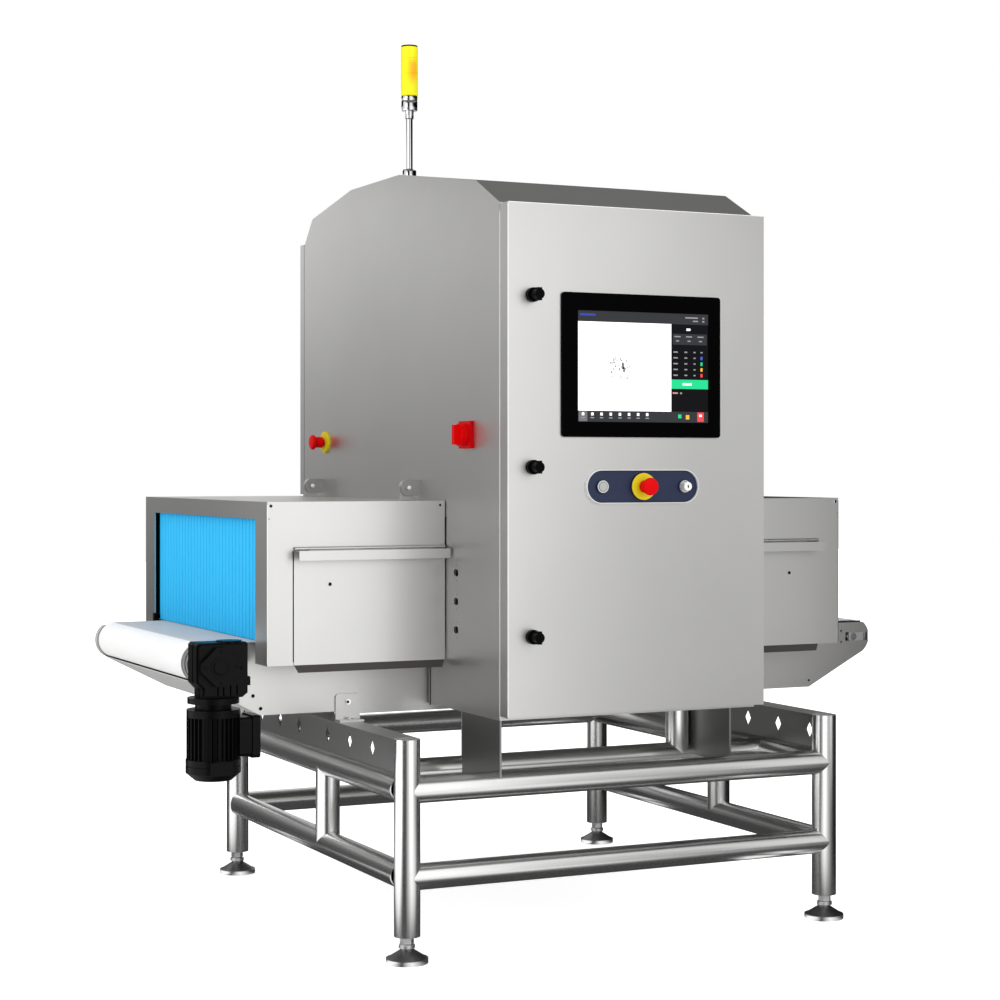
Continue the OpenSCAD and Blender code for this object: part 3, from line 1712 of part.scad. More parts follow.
module gear_motor() {
  neck_z = motor_top_z - motor_flange_t - motor_neck_h;
  body_z = neck_z - motor_body_h;
  fin_top_z = neck_z - motor_ring_h + over;
  core_r = motor_d / 2 - fin_h;
  fan_r = fan_cover_d / 2;
  lid_x = motor_d / 2 + terminal_out - box_lid;
  color("black") place()
    translate([-drum_x, motor_y, 0]) {
      bar_z([0, 0, motor_top_z - motor_flange_t], motor_flange_d / 2, motor_flange_t - seat_gap);
      bar_z([0, 0, neck_z - over], motor_neck_r, motor_neck_h + 2 * over);
      bar_z([0, 0, neck_z - motor_ring_h], motor_d / 2, motor_ring_h);
      bar_z([0, 0, body_z], core_r, motor_body_h);
      for (i = [0:fin_count - 1]) {
        rotate([0, 0, (i + 0.5) * 360 / fin_count])
          block([core_r - fin_in, -fin_t / 2, body_z - over], [motor_d / 2, fin_t / 2, fin_top_z]);
      }
      for (i = [0:3]) {
        rotate([0, 0, pad_turn + i * 90])
          block([core_r - fin_in, -pad_w / 2, body_z - over], [motor_d / 2 - fin_in / 2, pad_w / 2, fin_top_z]);
      }
      // Fan cover
      bar_z([0, 0, body_z - fan_skirt], fan_r - fan_groove, fan_skirt);
      bar_z([0, 0, body_z - fan_band], fan_r, fan_band);
      bar_z([0, 0, body_z - fan_skirt], fan_r, fan_skirt - fan_band - fan_groove);
      translate([0, 0, body_z - fan_cover_h])
        cylinder(r1 = fan_r - fan_taper, r2 = fan_r, h = fan_cover_h - fan_skirt);
      block([-fan_panel_w / 2, -fan_r - fan_groove / 2, body_z - fan_skirt - fan_groove],
         [fan_panel_w / 2, 0, body_z - fan_groove]);
      // Terminal box with its lid
      translate([core_r - fin_in, 0, body_z + terminal_h / 2])
        rotate([90, 0, 90]) linear_extrude(lid_x - core_r + fin_in)
          rounded_outline(box_w - 2 * lid_lap, terminal_h - 2 * lid_lap, box_r);
      translate([lid_x, 0, body_z + terminal_h / 2])
        rotate([90, 0, 90]) linear_extrude(box_lid) rounded_outline(box_w, terminal_h, box_r);
    }
}

corner_legs();
foot_pads();
foot_spindles();
foot_nuts();
long_rails();
side_rails();
frame_posts();
gusset_plates();
side_beams();
conveyor_brackets();
bracket_bolts();
left_side_panel();
right_side_panel();
roof_panel();
front_frame();
rear_panel();
cabinet_floor();
tunnel_liner();
tunnel_floor();
generator_cradle();
xray_generator();
collimator();
detector_array();
mounting_plate();
control_modules();
tower_pole();
tower_lenses();
hood_lugs();
side_switch_plates();
front_door();
hinge_brackets();
monitor_housing();
screen_glass();
control_plate();
front_estop_button();
start_button();
key_switch();
side_estop_button();
main_switch_handle();
latch_top();
latch_middle();
latch_bottom();
rear_door();
rear_latch();
left_hood();
right_hood();
left_curtain();
right_curtain();
left_access_door();
right_access_door();
conveyor_plates();
slider_bed();
conveyor_belt();
drive_drum();
idler_drum();
drum_bearings();
end_covers();
gearbox();
gear_motor();
door_gasket();
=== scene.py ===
# %% [markdown]
# # An x-ray inspection machine for food and packaging lines
# The machine is a tall stainless cabinet over a conveyor. Goods ride in through a hood with a
# strip curtain, pass under the x-ray source, and leave through a second hood. The machine could
# be modelled from nothing in Blender, but its sizes and hinges would then drift from the CAD
# model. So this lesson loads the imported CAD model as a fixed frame, gives each of its nodes a
# finish, and adds the small pieces that CAD leaves plain.

# %% Load the frame
import math
import random

import bpy
from mathutils import Matrix, Vector


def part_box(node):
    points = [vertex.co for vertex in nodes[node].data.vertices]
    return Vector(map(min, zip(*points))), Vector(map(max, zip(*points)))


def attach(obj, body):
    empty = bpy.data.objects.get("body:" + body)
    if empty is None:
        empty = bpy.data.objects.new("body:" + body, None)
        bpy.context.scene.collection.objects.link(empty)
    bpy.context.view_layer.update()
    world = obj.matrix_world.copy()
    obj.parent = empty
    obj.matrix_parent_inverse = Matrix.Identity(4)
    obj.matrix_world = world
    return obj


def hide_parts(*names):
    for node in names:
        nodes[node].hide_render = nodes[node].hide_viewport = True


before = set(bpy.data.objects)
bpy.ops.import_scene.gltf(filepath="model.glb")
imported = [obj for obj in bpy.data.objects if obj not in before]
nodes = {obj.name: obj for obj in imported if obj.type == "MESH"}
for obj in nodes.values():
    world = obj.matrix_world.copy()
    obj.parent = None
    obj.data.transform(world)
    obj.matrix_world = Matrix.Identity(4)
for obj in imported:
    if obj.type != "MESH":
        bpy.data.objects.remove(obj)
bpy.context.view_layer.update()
bpy.ops.object.select_all(action="DESELECT")

# %% [markdown]
# ## The camera
# The photograph was taken from the front left, a little above the belt, with a long lens. A
# camera that tips down would make the upright edges lean, so this one stays level, and a small
# lens shift brings the whole machine into the picture instead. Its place and turn are fitted to
# the parallel edges of the frame and the cabinet.

# %% Camera
CAMERA_PLACE = (-2.4963, -5.1634, 1.140)
CAMERA_TURN = 25.5
LENS_MM = 77.22
SENSOR_MM = 36.0
LENS_SHIFT = -0.0324
FARTHEST_SEEN = 100

camera_data = bpy.data.cameras.new("camera")
camera_data.sensor_width = SENSOR_MM
camera_data.lens = LENS_MM
camera_data.shift_y = LENS_SHIFT
camera_data.clip_end = FARTHEST_SEEN
camera = bpy.data.objects.new("camera", camera_data)
camera.location = CAMERA_PLACE
camera.rotation_euler = (math.radians(90), 0, math.radians(-CAMERA_TURN))
bpy.context.scene.collection.objects.link(camera)
bpy.context.scene.camera = camera
bpy.context.scene.view_settings.view_transform = "Standard"
print("camera turned by", CAMERA_TURN, "degrees")

# %% [markdown]
# ## Helpers for materials
# Every finish is built from nodes on Object coordinates, which are metres on this machine, so a
# grain of a given size looks the same on a large sheet and on a small screw. The nodes could be
# added one by one in each material, but a few short helpers keep the work readable: these two
# make an empty material and add a node with its values.

# %% A material and a node
def new_material(name):
    """A material that holds a principled shader and nothing else."""
    material = bpy.data.materials.new(name)
    material.use_nodes = True
    tree = material.node_tree
    tree.nodes.clear()
    output = tree.nodes.new("ShaderNodeOutputMaterial")
    shader = tree.nodes.new("ShaderNodeBsdfPrincipled")
    tree.links.new(shader.outputs["BSDF"], output.inputs["Surface"])
    return material, tree, shader


def add_node(tree, kind, **values):
    """A node whose sockets or settings take the values given by name."""
    node = tree.nodes.new(kind)
    for key, value in values.items():
        if key in node.inputs.keys():
            node.inputs[key].default_value = value
        else:
            setattr(node, key.lower(), value)
    return node


# %% [markdown]
# ## Patterns on the metal and the plastics
# No real surface is perfectly even. Blasted sheet has cloudy patches, polished tube has fine
# lines, and moulded plastic has a skin like orange peel. A photograph could be wrapped round
# each piece, but procedural noise has no seams and keeps its scale. One noise texture serves
# all three: it can be stretched, turned into a colour or a roughness, or pressed in as a bump.

# %% Noise and what is made of it
NOISE_ROUGHNESS = 0.55


def object_pattern(tree, stretch=(1, 1, 1)):
    """Object coordinates, which may be stretched along an axis."""
    place = tree.nodes.new("ShaderNodeTexCoord")
    mapping = tree.nodes.new("ShaderNodeMapping")
    mapping.inputs["Scale"].default_value = stretch
    tree.links.new(place.outputs["Object"], mapping.inputs["Vector"])
    return mapping.outputs["Vector"]


def noise(tree, vector, scale, detail=3.0):
    node = add_node(tree, "ShaderNodeTexNoise", Scale=scale, Detail=detail,
                    Roughness=NOISE_ROUGHNESS)
    tree.links.new(vector, node.inputs["Vector"])
    return node.outputs["Fac"]


def ramp(tree, factor, stops):
    """A colour that follows a factor through (place, colour) stops."""
    node = tree.nodes.new("ShaderNodeValToRGB")
    for element, (place, colour) in zip(node.color_ramp.elements, stops):
        element.position = place
        element.color = (*colour, 1)
    tree.links.new(factor, node.inputs["Fac"])
    return node.outputs["Color"]


def span(tree, factor, low, high, start=0.0, end=1.0):
    """A value that goes from low to high while the factor goes from start to end."""
    node = add_node(tree, "ShaderNodeMapRange")
    for key, value in zip(("From Min", "From Max", "To Min", "To Max"), (start, end, low, high)):
        node.inputs[key].default_value = value
    tree.links.new(factor, node.inputs["Value"])
    return node.outputs["Result"]


def bump(tree, shader, height, distance, strength):
    node = add_node(tree, "ShaderNodeBump", Strength=strength, Distance=distance)
    tree.links.new(height, node.inputs["Height"])
    tree.links.new(node.outputs["Normal"], shader.inputs["Normal"])


# %% Colours
PATCH_FROM, PATCH_TO = 0.3, 0.7


def shade(colour, factor):
    return tuple(min(1.0, channel * factor) for channel in colour)


def patchy(tree, factor, colour, darkest, lightest):
    """A colour that drifts between two shades of itself."""
    return ramp(tree, factor, [(PATCH_FROM, shade(colour, darkest)),
                               (PATCH_TO, shade(colour, lightest))])


def blend_colours(tree, first, second, factor):
    """Mixes two colours by a factor that changes over the surface."""
    mix = add_node(tree, "ShaderNodeMix", data_type="RGBA", blend_type="MIX")
    tree.links.new(factor, mix.inputs["Factor"])
    for name, colour in (("A", first), ("B", second)):
        socket = [i for i in mix.inputs if i.name == name and i.type == "RGBA"][0]
        tree.links.new(colour, socket)
    return [o for o in mix.outputs if o.type == "RGBA"][0]


# %% [markdown]
# ## Stainless steel, blasted and polished
# Most of the machine is stainless steel. The sheets are bead-blasted: dull and even, with a
# fine grain that only shows close up. The tubes are polished along their length, so they carry
# sharp bands of light and shade. A metal could be painted grey, but then it wouldn't mirror the
# room. Both finishes are metallic, and what differs is the roughness and the grain, which a
# small stretch value draws out along the tube.

# %% Blasted sheet
SHEET_CLOUD, SHEET_GRAIN = 2.5, 900.0
SHEET_DARK, SHEET_LIGHT = 0.965, 1.02
GRAIN_DEPTH, GRAIN_STRENGTH = 0.00004, 0.35


def blasted_steel(name, colour, rough):
    material, tree, shader = new_material(name)
    place = object_pattern(tree)
    patches = noise(tree, place, SHEET_CLOUD)
    tree.links.new(patchy(tree, patches, colour, SHEET_DARK, SHEET_LIGHT),
                   shader.inputs["Base Color"])
    shader.inputs["Metallic"].default_value = 1.0
    fine = noise(tree, place, SHEET_GRAIN, 2.0)
    tree.links.new(span(tree, fine, rough - 0.05, rough + 0.06), shader.inputs["Roughness"])
    bump(tree, shader, fine, GRAIN_DEPTH, GRAIN_STRENGTH)
    return material


# %% Polished tube
POLISH_LINES = 220.0
LINE_DEPTH, LINE_STRENGTH = 0.00002, 0.08
ALONG_X, ALONG_Y, ALONG_Z = (0.02, 1, 1), (1, 0.02, 1), (1, 1, 0.02)


def polished_steel(name, colour, rough, along=(1, 1, 1)):
    material, tree, shader = new_material(name)
    lines = noise(tree, object_pattern(tree, along), POLISH_LINES)
    tree.links.new(ramp(tree, lines, [(0.35, shade(colour, 0.98)), (0.65, shade(colour, 1.01))]),
                   shader.inputs["Base Color"])
    shader.inputs["Metallic"].default_value = 1.0
    tree.links.new(span(tree, lines, rough - 0.02, rough + 0.03), shader.inputs["Roughness"])
    bump(tree, shader, lines, LINE_DEPTH, LINE_STRENGTH)
    return material


# %% The steels of this machine
sheet_colour = (0.69, 0.685, 0.67)
sheet_steel = blasted_steel("sheet_steel", sheet_colour, rough=0.36)
inner_steel = blasted_steel("inner_steel", (0.55, 0.56, 0.57), rough=0.36)
# The frame and gusset steels are the sheets' stainless coloured darker as painted shade: the
# gussets sit in the cabinet's shadow, and the beams, lugs, hinge brackets and tension blocks are
# darkened to the shade they show.
painted_shade_frame_steel = blasted_steel("painted_shade_frame_steel", (0.50, 0.50, 0.495), rough=0.36)
painted_shade_steel = blasted_steel("painted_shade_steel", (0.30, 0.30, 0.30), rough=0.4)
# The three tubes are one polish; their different base colours are painted shade, darkest on the
# tubes along y and brightest on the uprights.
tube_x = polished_steel("tube_along_x", (0.84, 0.84, 0.83), rough=0.23, along=ALONG_X)
tube_y = polished_steel("tube_along_y", (0.78, 0.78, 0.775), rough=0.23, along=ALONG_Y)
tube_z = polished_steel("tube_upright", (0.93, 0.93, 0.92), rough=0.23, along=ALONG_Z)
drum_steel = polished_steel("drum_steel", (0.72, 0.72, 0.72), rough=0.24, along=(1, 0.03, 1))
bright_steel = polished_steel("bright_steel", (0.86, 0.86, 0.87), rough=0.1)
satin_steel = polished_steel("satin_steel", (0.88, 0.88, 0.88), rough=0.34)
chrome = polished_steel("chrome", (0.74, 0.74, 0.75), rough=0.06)
print("steels:", len(bpy.data.materials))

# %% [markdown]
# ## Plastics, rubber and paint
# The rest is moulded or painted. Moulded plastic has a slight orange peel, the gear motor's
# paint lies over a sand casting's texture, and the curtains are soft sheets with a weak sheen.
# Each could have its own node tree, but only the numbers differ, so one function makes them all.
# A low specular value keeps the black ones black in a white room.

# %% Moulded and painted finishes
PATCH_SCALE = 14.0
PEEL_STRENGTH = 0.5


def moulded(name, colour, rough=0.35, peel=600.0, depth=0.00003, metallic=0.0, vary=0.04,
            coat=0.0, specular=0.5):
    material, tree, shader = new_material(name)
    place = object_pattern(tree)
    skin = noise(tree, place, peel)
    patches = noise(tree, place, PATCH_SCALE)
    tree.links.new(patchy(tree, patches, colour, 1 - vary, 1 + vary), shader.inputs["Base Color"])
    tree.links.new(span(tree, skin, rough - 0.05, rough + 0.07), shader.inputs["Roughness"])
    shader.inputs["Metallic"].default_value = metallic
    shader.inputs["Specular IOR Level"].default_value = specular
    shader.inputs["Coat Weight"].default_value = coat
    bump(tree, shader, skin, depth, PEEL_STRENGTH)
    return material


# %% Blacks and greys
shield_paint = moulded("shield_paint", (0.34, 0.37, 0.40), rough=0.5)
cast_alloy = moulded("cast_alloy", (0.55, 0.55, 0.55), rough=0.45, metallic=0.8, depth=0.0001)
motor_paint = moulded("motor_paint", (0.003, 0.003, 0.003), rough=0.32, peel=300.0,
                      depth=0.00008, specular=0.09)
black_plastic = moulded("black_plastic", (0.0025, 0.0025, 0.0025), rough=0.3, specular=0.025)
bezel_black = moulded("bezel_black", (0.0012, 0.0012, 0.0013), rough=0.42, specular=0.01)
cover_grey = moulded("cover_grey", (0.60, 0.60, 0.59), rough=0.5, vary=0.02)
module_plastic = moulded("module_plastic", (0.035, 0.04, 0.045), rough=0.5)
# A black rubber for the door's gasket, also used for strips of painted shade.
gasket_rubber = moulded("gasket_rubber", (0.02, 0.02, 0.02), rough=0.7)
# A near-white, barely metallic steel for painted highlights: the folded edges, the key's face and
# the pin heads.
painted_highlight_steel = moulded("painted_highlight_steel", (0.96, 0.96, 0.95), rough=0.35, metallic=0.15)
# A black for painted shade in gaps, holes, sockets and slots, and for the scale marks.
shade_and_mark_black = moulded("shade_and_mark_black", (0.006, 0.006, 0.006), rough=0.8, specular=0.1)
pale_border = moulded("pale_border", (0.78, 0.78, 0.80), rough=0.4)
pale_grey = moulded("pale_grey_plastic", (0.42, 0.42, 0.40), rough=0.4)

# %% Colours of the controls and the curtains
yellow = (0.72, 0.58, 0.012)
stop_red = moulded("stop_red", (0.68, 0.001, 0.002), rough=0.4, specular=0.06)
ring_yellow = moulded("ring_yellow", yellow, rough=0.4, specular=0.2)
curtain_blue = moulded("curtain_blue", (0.022, 0.54, 1.0), rough=0.6, vary=0.02, specular=0.2)
navy_enamel = moulded("navy_enamel", (0.0125, 0.021, 0.06), rough=0.32, coat=0.08,
                      specular=0.35)
print("materials so far:", len(bpy.data.materials))

# %% [markdown]
# ## One node, two finishes
# A few CAD nodes hold two materials that meet at a straight line. A foot's cone is painted darker
# than its bright rim, an access door's folded skirt is painted dark, and the belt's top is painted
# greyer than where it turns round the drum: all three are painted shade. A CAD mesh can't be split,
# so the material itself changes at a place along one axis, over less than a millimetre.

# %% A finish that changes at a line
HALF_CHANGE = 0.0004


def split_finish(name, axis, place, below, above, rough=(0.36, 0.36), metallic=(0.0, 0.0),
                 specular=0.5):
    """Each pair says what holds below and above a place along one axis."""
    material, tree, shader = new_material(name)
    apart = add_node(tree, "ShaderNodeSeparateXYZ")
    tree.links.new(object_pattern(tree), apart.inputs[0])
    side = span(tree, apart.outputs[axis], 0.0, 1.0, place - HALF_CHANGE, place + HALF_CHANGE)
    patches = noise(tree, object_pattern(tree), SHEET_CLOUD)
    tones = [patchy(tree, patches, colour, SHEET_DARK, SHEET_LIGHT) for colour in (below, above)]
    tree.links.new(blend_colours(tree, *tones, side), shader.inputs["Base Color"])
    tree.links.new(span(tree, side, *rough), shader.inputs["Roughness"])
    tree.links.new(span(tree, side, *metallic), shader.inputs["Metallic"])
    shader.inputs["Specular IOR Level"].default_value = specular
    fine = noise(tree, object_pattern(tree), SHEET_GRAIN, 2.0)
    bump(tree, shader, fine, GRAIN_DEPTH, GRAIN_STRENGTH)
    return material


# %% The four split finishes
PAD_RIM_Z, BELT_TOP_Z, SKIRT_TOP_Z, SWITCH_BASE_Y = 0.0125, 0.7192, 0.6685, 0.0
# painted shade: each foot's cone above the rim is coloured dark, its rim below bright
pad_steel = split_finish("pad_steel", "Z", PAD_RIM_Z, (0.86, 0.86, 0.86), (0.26, 0.26, 0.26),
                         rough=(0.15, 0.36), metallic=(1.0, 1.0))
# painted shade: the belt's top is coloured greyer than where it wraps the drum
belt_face = split_finish("belt_face", "Z", BELT_TOP_Z, (0.98, 0.98, 0.975), (0.64, 0.61, 0.595),
                         rough=(0.5, 0.6), specular=0.12)
switch_colours = split_finish("switch_colours", "Y", SWITCH_BASE_Y, (0.56, 0.001, 0.003), yellow,
                              specular=0.08)
# painted shade: the skirt below the fold is coloured dark and dull
skirt_shade_steel = split_finish("skirt_shade_steel", "Z", SKIRT_TOP_Z, (0.042, 0.036, 0.032),
                             sheet_colour, rough=(0.6, 0.36), metallic=(0.0, 1.0))
print("finishes:", len(bpy.data.materials))

# %% [markdown]
# ## Dress the CAD nodes
# A CAD node that already has the right shape stays, and only its material slot is filled. The
# finish could be set node by node, but a table that lists the nodes of each finish shows the
# whole machine at a look, and its last line tells whether a node was forgotten.

# %% Node finishes
FINISHES = {
    sheet_steel: ["front_door", "rear_door", "right_side_panel", "front_frame", "rear_panel",
                  "cabinet_floor", "tunnel_floor", "left_hood", "right_hood",
                  "conveyor_plates", "conveyor_brackets", "left_side_panel", "roof_panel"],
    # painted shade: the beams, lugs, brackets and gussets take darker copies of the sheets' steel
    painted_shade_frame_steel: ["side_beams", "hood_lugs", "hinge_brackets"],
    painted_shade_steel: ["gusset_plates"],
    skirt_shade_steel: ["left_access_door", "right_access_door"],
    inner_steel: ["generator_cradle", "mounting_plate", "slider_bed"],
    shield_paint: ["tunnel_liner", "collimator"],
    tube_x: ["long_rails"],
    tube_y: ["side_rails"],
    tube_z: ["corner_legs", "frame_posts", "tower_pole"],
    bright_steel: ["foot_spindles", "bracket_bolts"],
    satin_steel: ["foot_nuts", "key_switch", "start_button"],
    pad_steel: ["foot_pads"],
    cover_grey: ["end_covers"],
    drum_steel: ["drive_drum", "idler_drum"],
    cast_alloy: ["xray_generator", "drum_bearings"],
    motor_paint: ["gearbox", "gear_motor"],
    bezel_black: ["monitor_housing"],
    black_plastic: ["latch_top", "latch_middle", "latch_bottom", "rear_latch"],
    module_plastic: ["control_modules", "detector_array", "screen_glass"],
    gasket_rubber: ["door_gasket"],
    stop_red: ["front_estop_button", "side_estop_button", "main_switch_handle"],
    switch_colours: ["side_switch_plates"],
    ring_yellow: ["tower_lenses"],
    belt_face: ["conveyor_belt"],
    curtain_blue: ["left_curtain", "right_curtain"],
    navy_enamel: ["control_plate"],
}
for finish, names in FINISHES.items():
    for name in names:
        mesh = nodes[name].data
        mesh.materials.clear()
        mesh.materials.append(finish)
finished = {name for names in FINISHES.values() for name in names}
print("nodes with no finish:", sorted(set(nodes) - finished))

# %% [markdown]
# ## Tools for new pieces
# New pieces are modelled as by hand: a primitive is placed, shaped in edit mode and given its
# finish. An operator acts on all that is selected, so each tool first says what is. Sizes are in
# millimetres from here on, because that is how a maker measures this machine, and each tool
# turns them into metres.

# %% Add, settle, join and dress a piece
MM = 0.001


def start(add, **values):
    """Adds a primitive with nothing else selected."""
    bpy.ops.object.select_all(action="DESELECT")
    add(**values)
    return bpy.context.object


def only(piece):
    bpy.ops.object.select_all(action="DESELECT")
    piece.select_set(True)
    bpy.context.view_layer.objects.active = piece


def settle(piece):
    """Moves the place, turn and scale of a piece into its mesh."""
    only(piece)
    bpy.ops.object.transform_apply(location=True, rotation=True, scale=True)
    return piece


def joined(name, parts):
    only(parts[0])
    for part in parts:
        part.select_set(True)
    if len(parts) > 1:
        bpy.ops.object.join()
    parts[0].name = name
    return parts[0]


def dress(piece, body, *finishes, angle=30):
    """Gives a piece its finishes and lets it ride on a body."""
    if finishes:
        piece.data.materials.clear()
        for finish in finishes:
            piece.data.materials.append(finish)
    only(piece)
    bpy.ops.object.shade_smooth_by_angle(angle=math.radians(angle))
    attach(piece, body)
    return piece


# %% [markdown]
# ## Blocks and turned pieces
# Nearly all small hardware is either cut from bar or turned on a lathe. A block could be left as
# a cube, but a real edge is never sharp, and its bevel is what catches the light. A turned piece
# starts as a disc that is drawn up ring by ring, like clay on a wheel. It could also be spun
# from a profile, but rings are easier to read and leave no seam.

# %% A block with softened edges
def block(name, low, high, soft=0.5):
    """A block between two corners in millimetres, with every edge bevelled."""
    piece = start(bpy.ops.mesh.primitive_cube_add, size=1)
    piece.name = name
    piece.scale = [(h - l) * MM for l, h in zip(low, high)]
    piece.location = [(h + l) / 2 * MM for l, h in zip(low, high)]
    settle(piece)
    bpy.ops.object.mode_set(mode="EDIT")
    bpy.ops.mesh.select_all(action="SELECT")
    bpy.ops.mesh.bevel(offset=soft * MM, segments=2, affect="EDGES")
    bpy.ops.object.mode_set(mode="OBJECT")
    return piece


# %% A turned piece
TO_FRONT, TO_BACK, TO_RIGHT = (90, 0, 0), (-90, 0, 0), (0, 90, 0)


def turned(name, rings, place=(0, 0, 0), turn=(0, 0, 0), sides=32):
    """Draws a disc up through (radius, height) rings in millimetres, and turns it into place."""
    piece = start(bpy.ops.mesh.primitive_circle_add, vertices=sides, radius=rings[0][0] * MM,
                  fill_type="NGON")
    piece.name = name
    bpy.ops.object.mode_set(mode="EDIT")
    bpy.ops.mesh.select_all(action="SELECT")
    for (radius, height), (wider, higher) in zip(rings, rings[1:]):
        bpy.ops.mesh.extrude_region_move(
            TRANSFORM_OT_translate={"value": (0, 0, (higher - height) * MM)})
        bpy.ops.transform.resize(value=(wider / radius, wider / radius, 1))
    bpy.ops.mesh.select_all(action="SELECT")
    bpy.ops.mesh.normals_make_consistent(inside=False)
    bpy.ops.object.mode_set(mode="OBJECT")
    piece.rotation_euler = [math.radians(angle) for angle in turn]
    piece.location = [value * MM for value in place]
    return settle(piece)


# %% [markdown]
# ## Copies that sit on the metal
# Screws and holes repeat all over the machine. Typing the depth of each one would leave some
# sunk and some floating. So one master of each is modelled pointing up, and a line is shot at
# the machine from outside: where it first meets the named node, a copy of the master is seated.

# %% Seat a master on a node
OUTSIDE = {"front": -900, "back": 1200, "left": -1500, "right": 1500}
INWARD = {"front": (0, 1, 0), "back": (0, -1, 0), "left": (1, 0, 0), "right": (-1, 0, 0)}


def landing(node, side, across, height):
    """Where a level line from outside one side first meets a CAD node, or None."""
    far = OUTSIDE[side]
    point = (across, far, height) if side in ("front", "back") else (far, across, height)
    hit, place = nodes[node].ray_cast(
        Vector(point) * MM, Vector(INWARD[side]),
        depsgraph=bpy.context.evaluated_depsgraph_get())[:2]
    return place if hit else None


def on_metal(master, name, body, side, spots):
    """Copies a master to spots of (node, across, height) on one side, and joins the copies."""
    turn = Vector(INWARD[side]).to_track_quat("-Z", "Y").to_matrix().to_4x4()
    copies = []
    for node, across, height in spots:
        place = landing(node, side, across, height)
        if place is None:
            print("nothing carries a copy of", name, "at", across, height)
            continue
        twin = master.copy()
        twin.data = master.data.copy()
        twin.data.transform(Matrix.Translation(place) @ turn)
        bpy.context.scene.collection.objects.link(twin)
        copies.append(twin)
    return dress(joined(name, copies), body)


# %% [markdown]
# ## Masters of the screws and openings
# Small screws close the hoods, the gear cover and the motor's lid, and flank the openings in the
# cabinet's sides. The openings themselves are shown by a black plug of painted shade with a thin
# rim, because a CAD mesh isn't drilled here. In both, the faces inside a radius take a second,
# black finish, painted shade that reads as depth from any side.

# %% Heads with a middle of painted shade
def painted_shade_middle(piece, radius):
    """Gives the faces within a radius of a piece's axis, above its base, the black of painted
    shade.
    """
    piece.data.materials.append(shade_and_mark_black)
    for face in piece.data.polygons:
        reach = max(Vector(piece.data.vertices[i].co[:2]).length for i in face.vertices)
        face.material_index = int(reach < radius * MM and face.center.z > 0)


def screw(name, rings, socket, finish, sides):
    head = turned(name, rings, sides=sides)
    head.data.materials.append(finish)
    painted_shade_middle(head, socket)
    return head


def opening(name, radius):
    """An opening shown as painted shade inside a thin rim."""
    rings = [(radius + 0.9, 0), (radius + 0.7, 0.5), (radius, 0.5), (radius - 0.2, 0.15)]
    return screw(name, rings, radius + 0.05, sheet_steel, 28)


small_screw = screw("small_screw", [(4.2, 0), (4.2, 0.6), (3.5, 1.0), (3.3, 1.0), (3.2, 0.4)],
                    3.35, bright_steel, 20)
tiny_screw = screw("tiny_screw", [(1.9, 0), (1.8, 0.6), (1.2, 0.8), (1.1, 0.4)],
                   1.25, bright_steel, 14)
black_screw = screw("black_screw", [(3.8, 0), (3.8, 1.4), (3.2, 2.0), (2.2, 2.0), (2.1, 0.8)],
                    2.25, motor_paint, 20)
side_opening = opening("side_opening", 8.6)
door_opening = opening("door_opening", 4.4)
plate_opening = opening("plate_opening", 4.4)
MASTERS = [small_screw, tiny_screw, black_screw, side_opening, door_opening, plate_opening]
print("masters:", [master.name for master in MASTERS])

# %% [markdown]
# ## Hood hardware
# Each hood is a folded box with screws near its corners. Beside it, the cabinet's side has a
# column of three openings, each with a small screw above and below. Every screw could be listed
# for both hoods, but they are alike, so what is measured on the left one is mirrored about the
# middle of the machine for the right one.

# %% Screws and openings on both hoods
MIDDLE_X = 6.2
PANEL_HOLES_Y, PANEL_HOLES_Z, SCREW_STEP = -403, (883.3, 814, 744.5), 18


def mirrored(side, x):
    return x if side == "left" else 2 * MIDDLE_X - x


def dress_hood(side):
    hood, door, wall = side + "_hood", side + "_access_door", side + "_side_panel"
    corners = [(hood, mirrored(side, x), z) for x, z in ((-795.4, 1048.9), (-356.5, 1048))]
    on_metal(small_screw, hood + "_front_screws", hood, "front", corners)
    back_row = [(hood, mirrored(side, x), 1048) for x in (-795.4, -575, -356.5)]
    on_metal(small_screw, hood + "_back_screws", hood, "back", back_row)
    mouth = [(hood, y, z) for y in (-331, 672) for z in (1048, 712)]
    on_metal(tiny_screw, hood + "_mouth_screws", hood, side, mouth)
    edge = [(hood, mirrored(side, -800.5), 1018)]
    on_metal(tiny_screw, hood + "_edge_screw", hood, "front", edge)
    on_metal(door_opening, door + "_opening", door, "front", [(door, mirrored(side, -646.8), 860)])
    holes = [(wall, PANEL_HOLES_Y, z) for z in PANEL_HOLES_Z]
    on_metal(side_opening, wall + "_openings", "machine", side, holes)
    near = [(wall, PANEL_HOLES_Y, z + step) for z in PANEL_HOLES_Z
            for step in (-SCREW_STEP, SCREW_STEP)]
    on_metal(tiny_screw, wall + "_screws", "machine", side, near)


bolts = [("bracket_bolts", x, 563) for x in (-560.3, 572.7)]
on_metal(small_screw, "bracket_bolt_sockets", "machine", "front", bolts)
for side in ("left", "right"):
    dress_hood(side)
print("hood hardware on both sides")

# %% [markdown]
# ## Openings in the conveyor plates, screws on the drive
# Each of the conveyor's side plates has three small holes near its ends. The gear casing's
# round cover is held by four black screws on a ring, with one more beside it, and the motor's
# terminal box has a screw in each corner of its lid. These are the last places that need a
# master, so the masters are removed afterwards instead of being hidden.

# %% Plates, gear casing and terminal lid
GEAR_X, GEAR_Z, SCREW_RING = -927.8, 673.0, 38.0

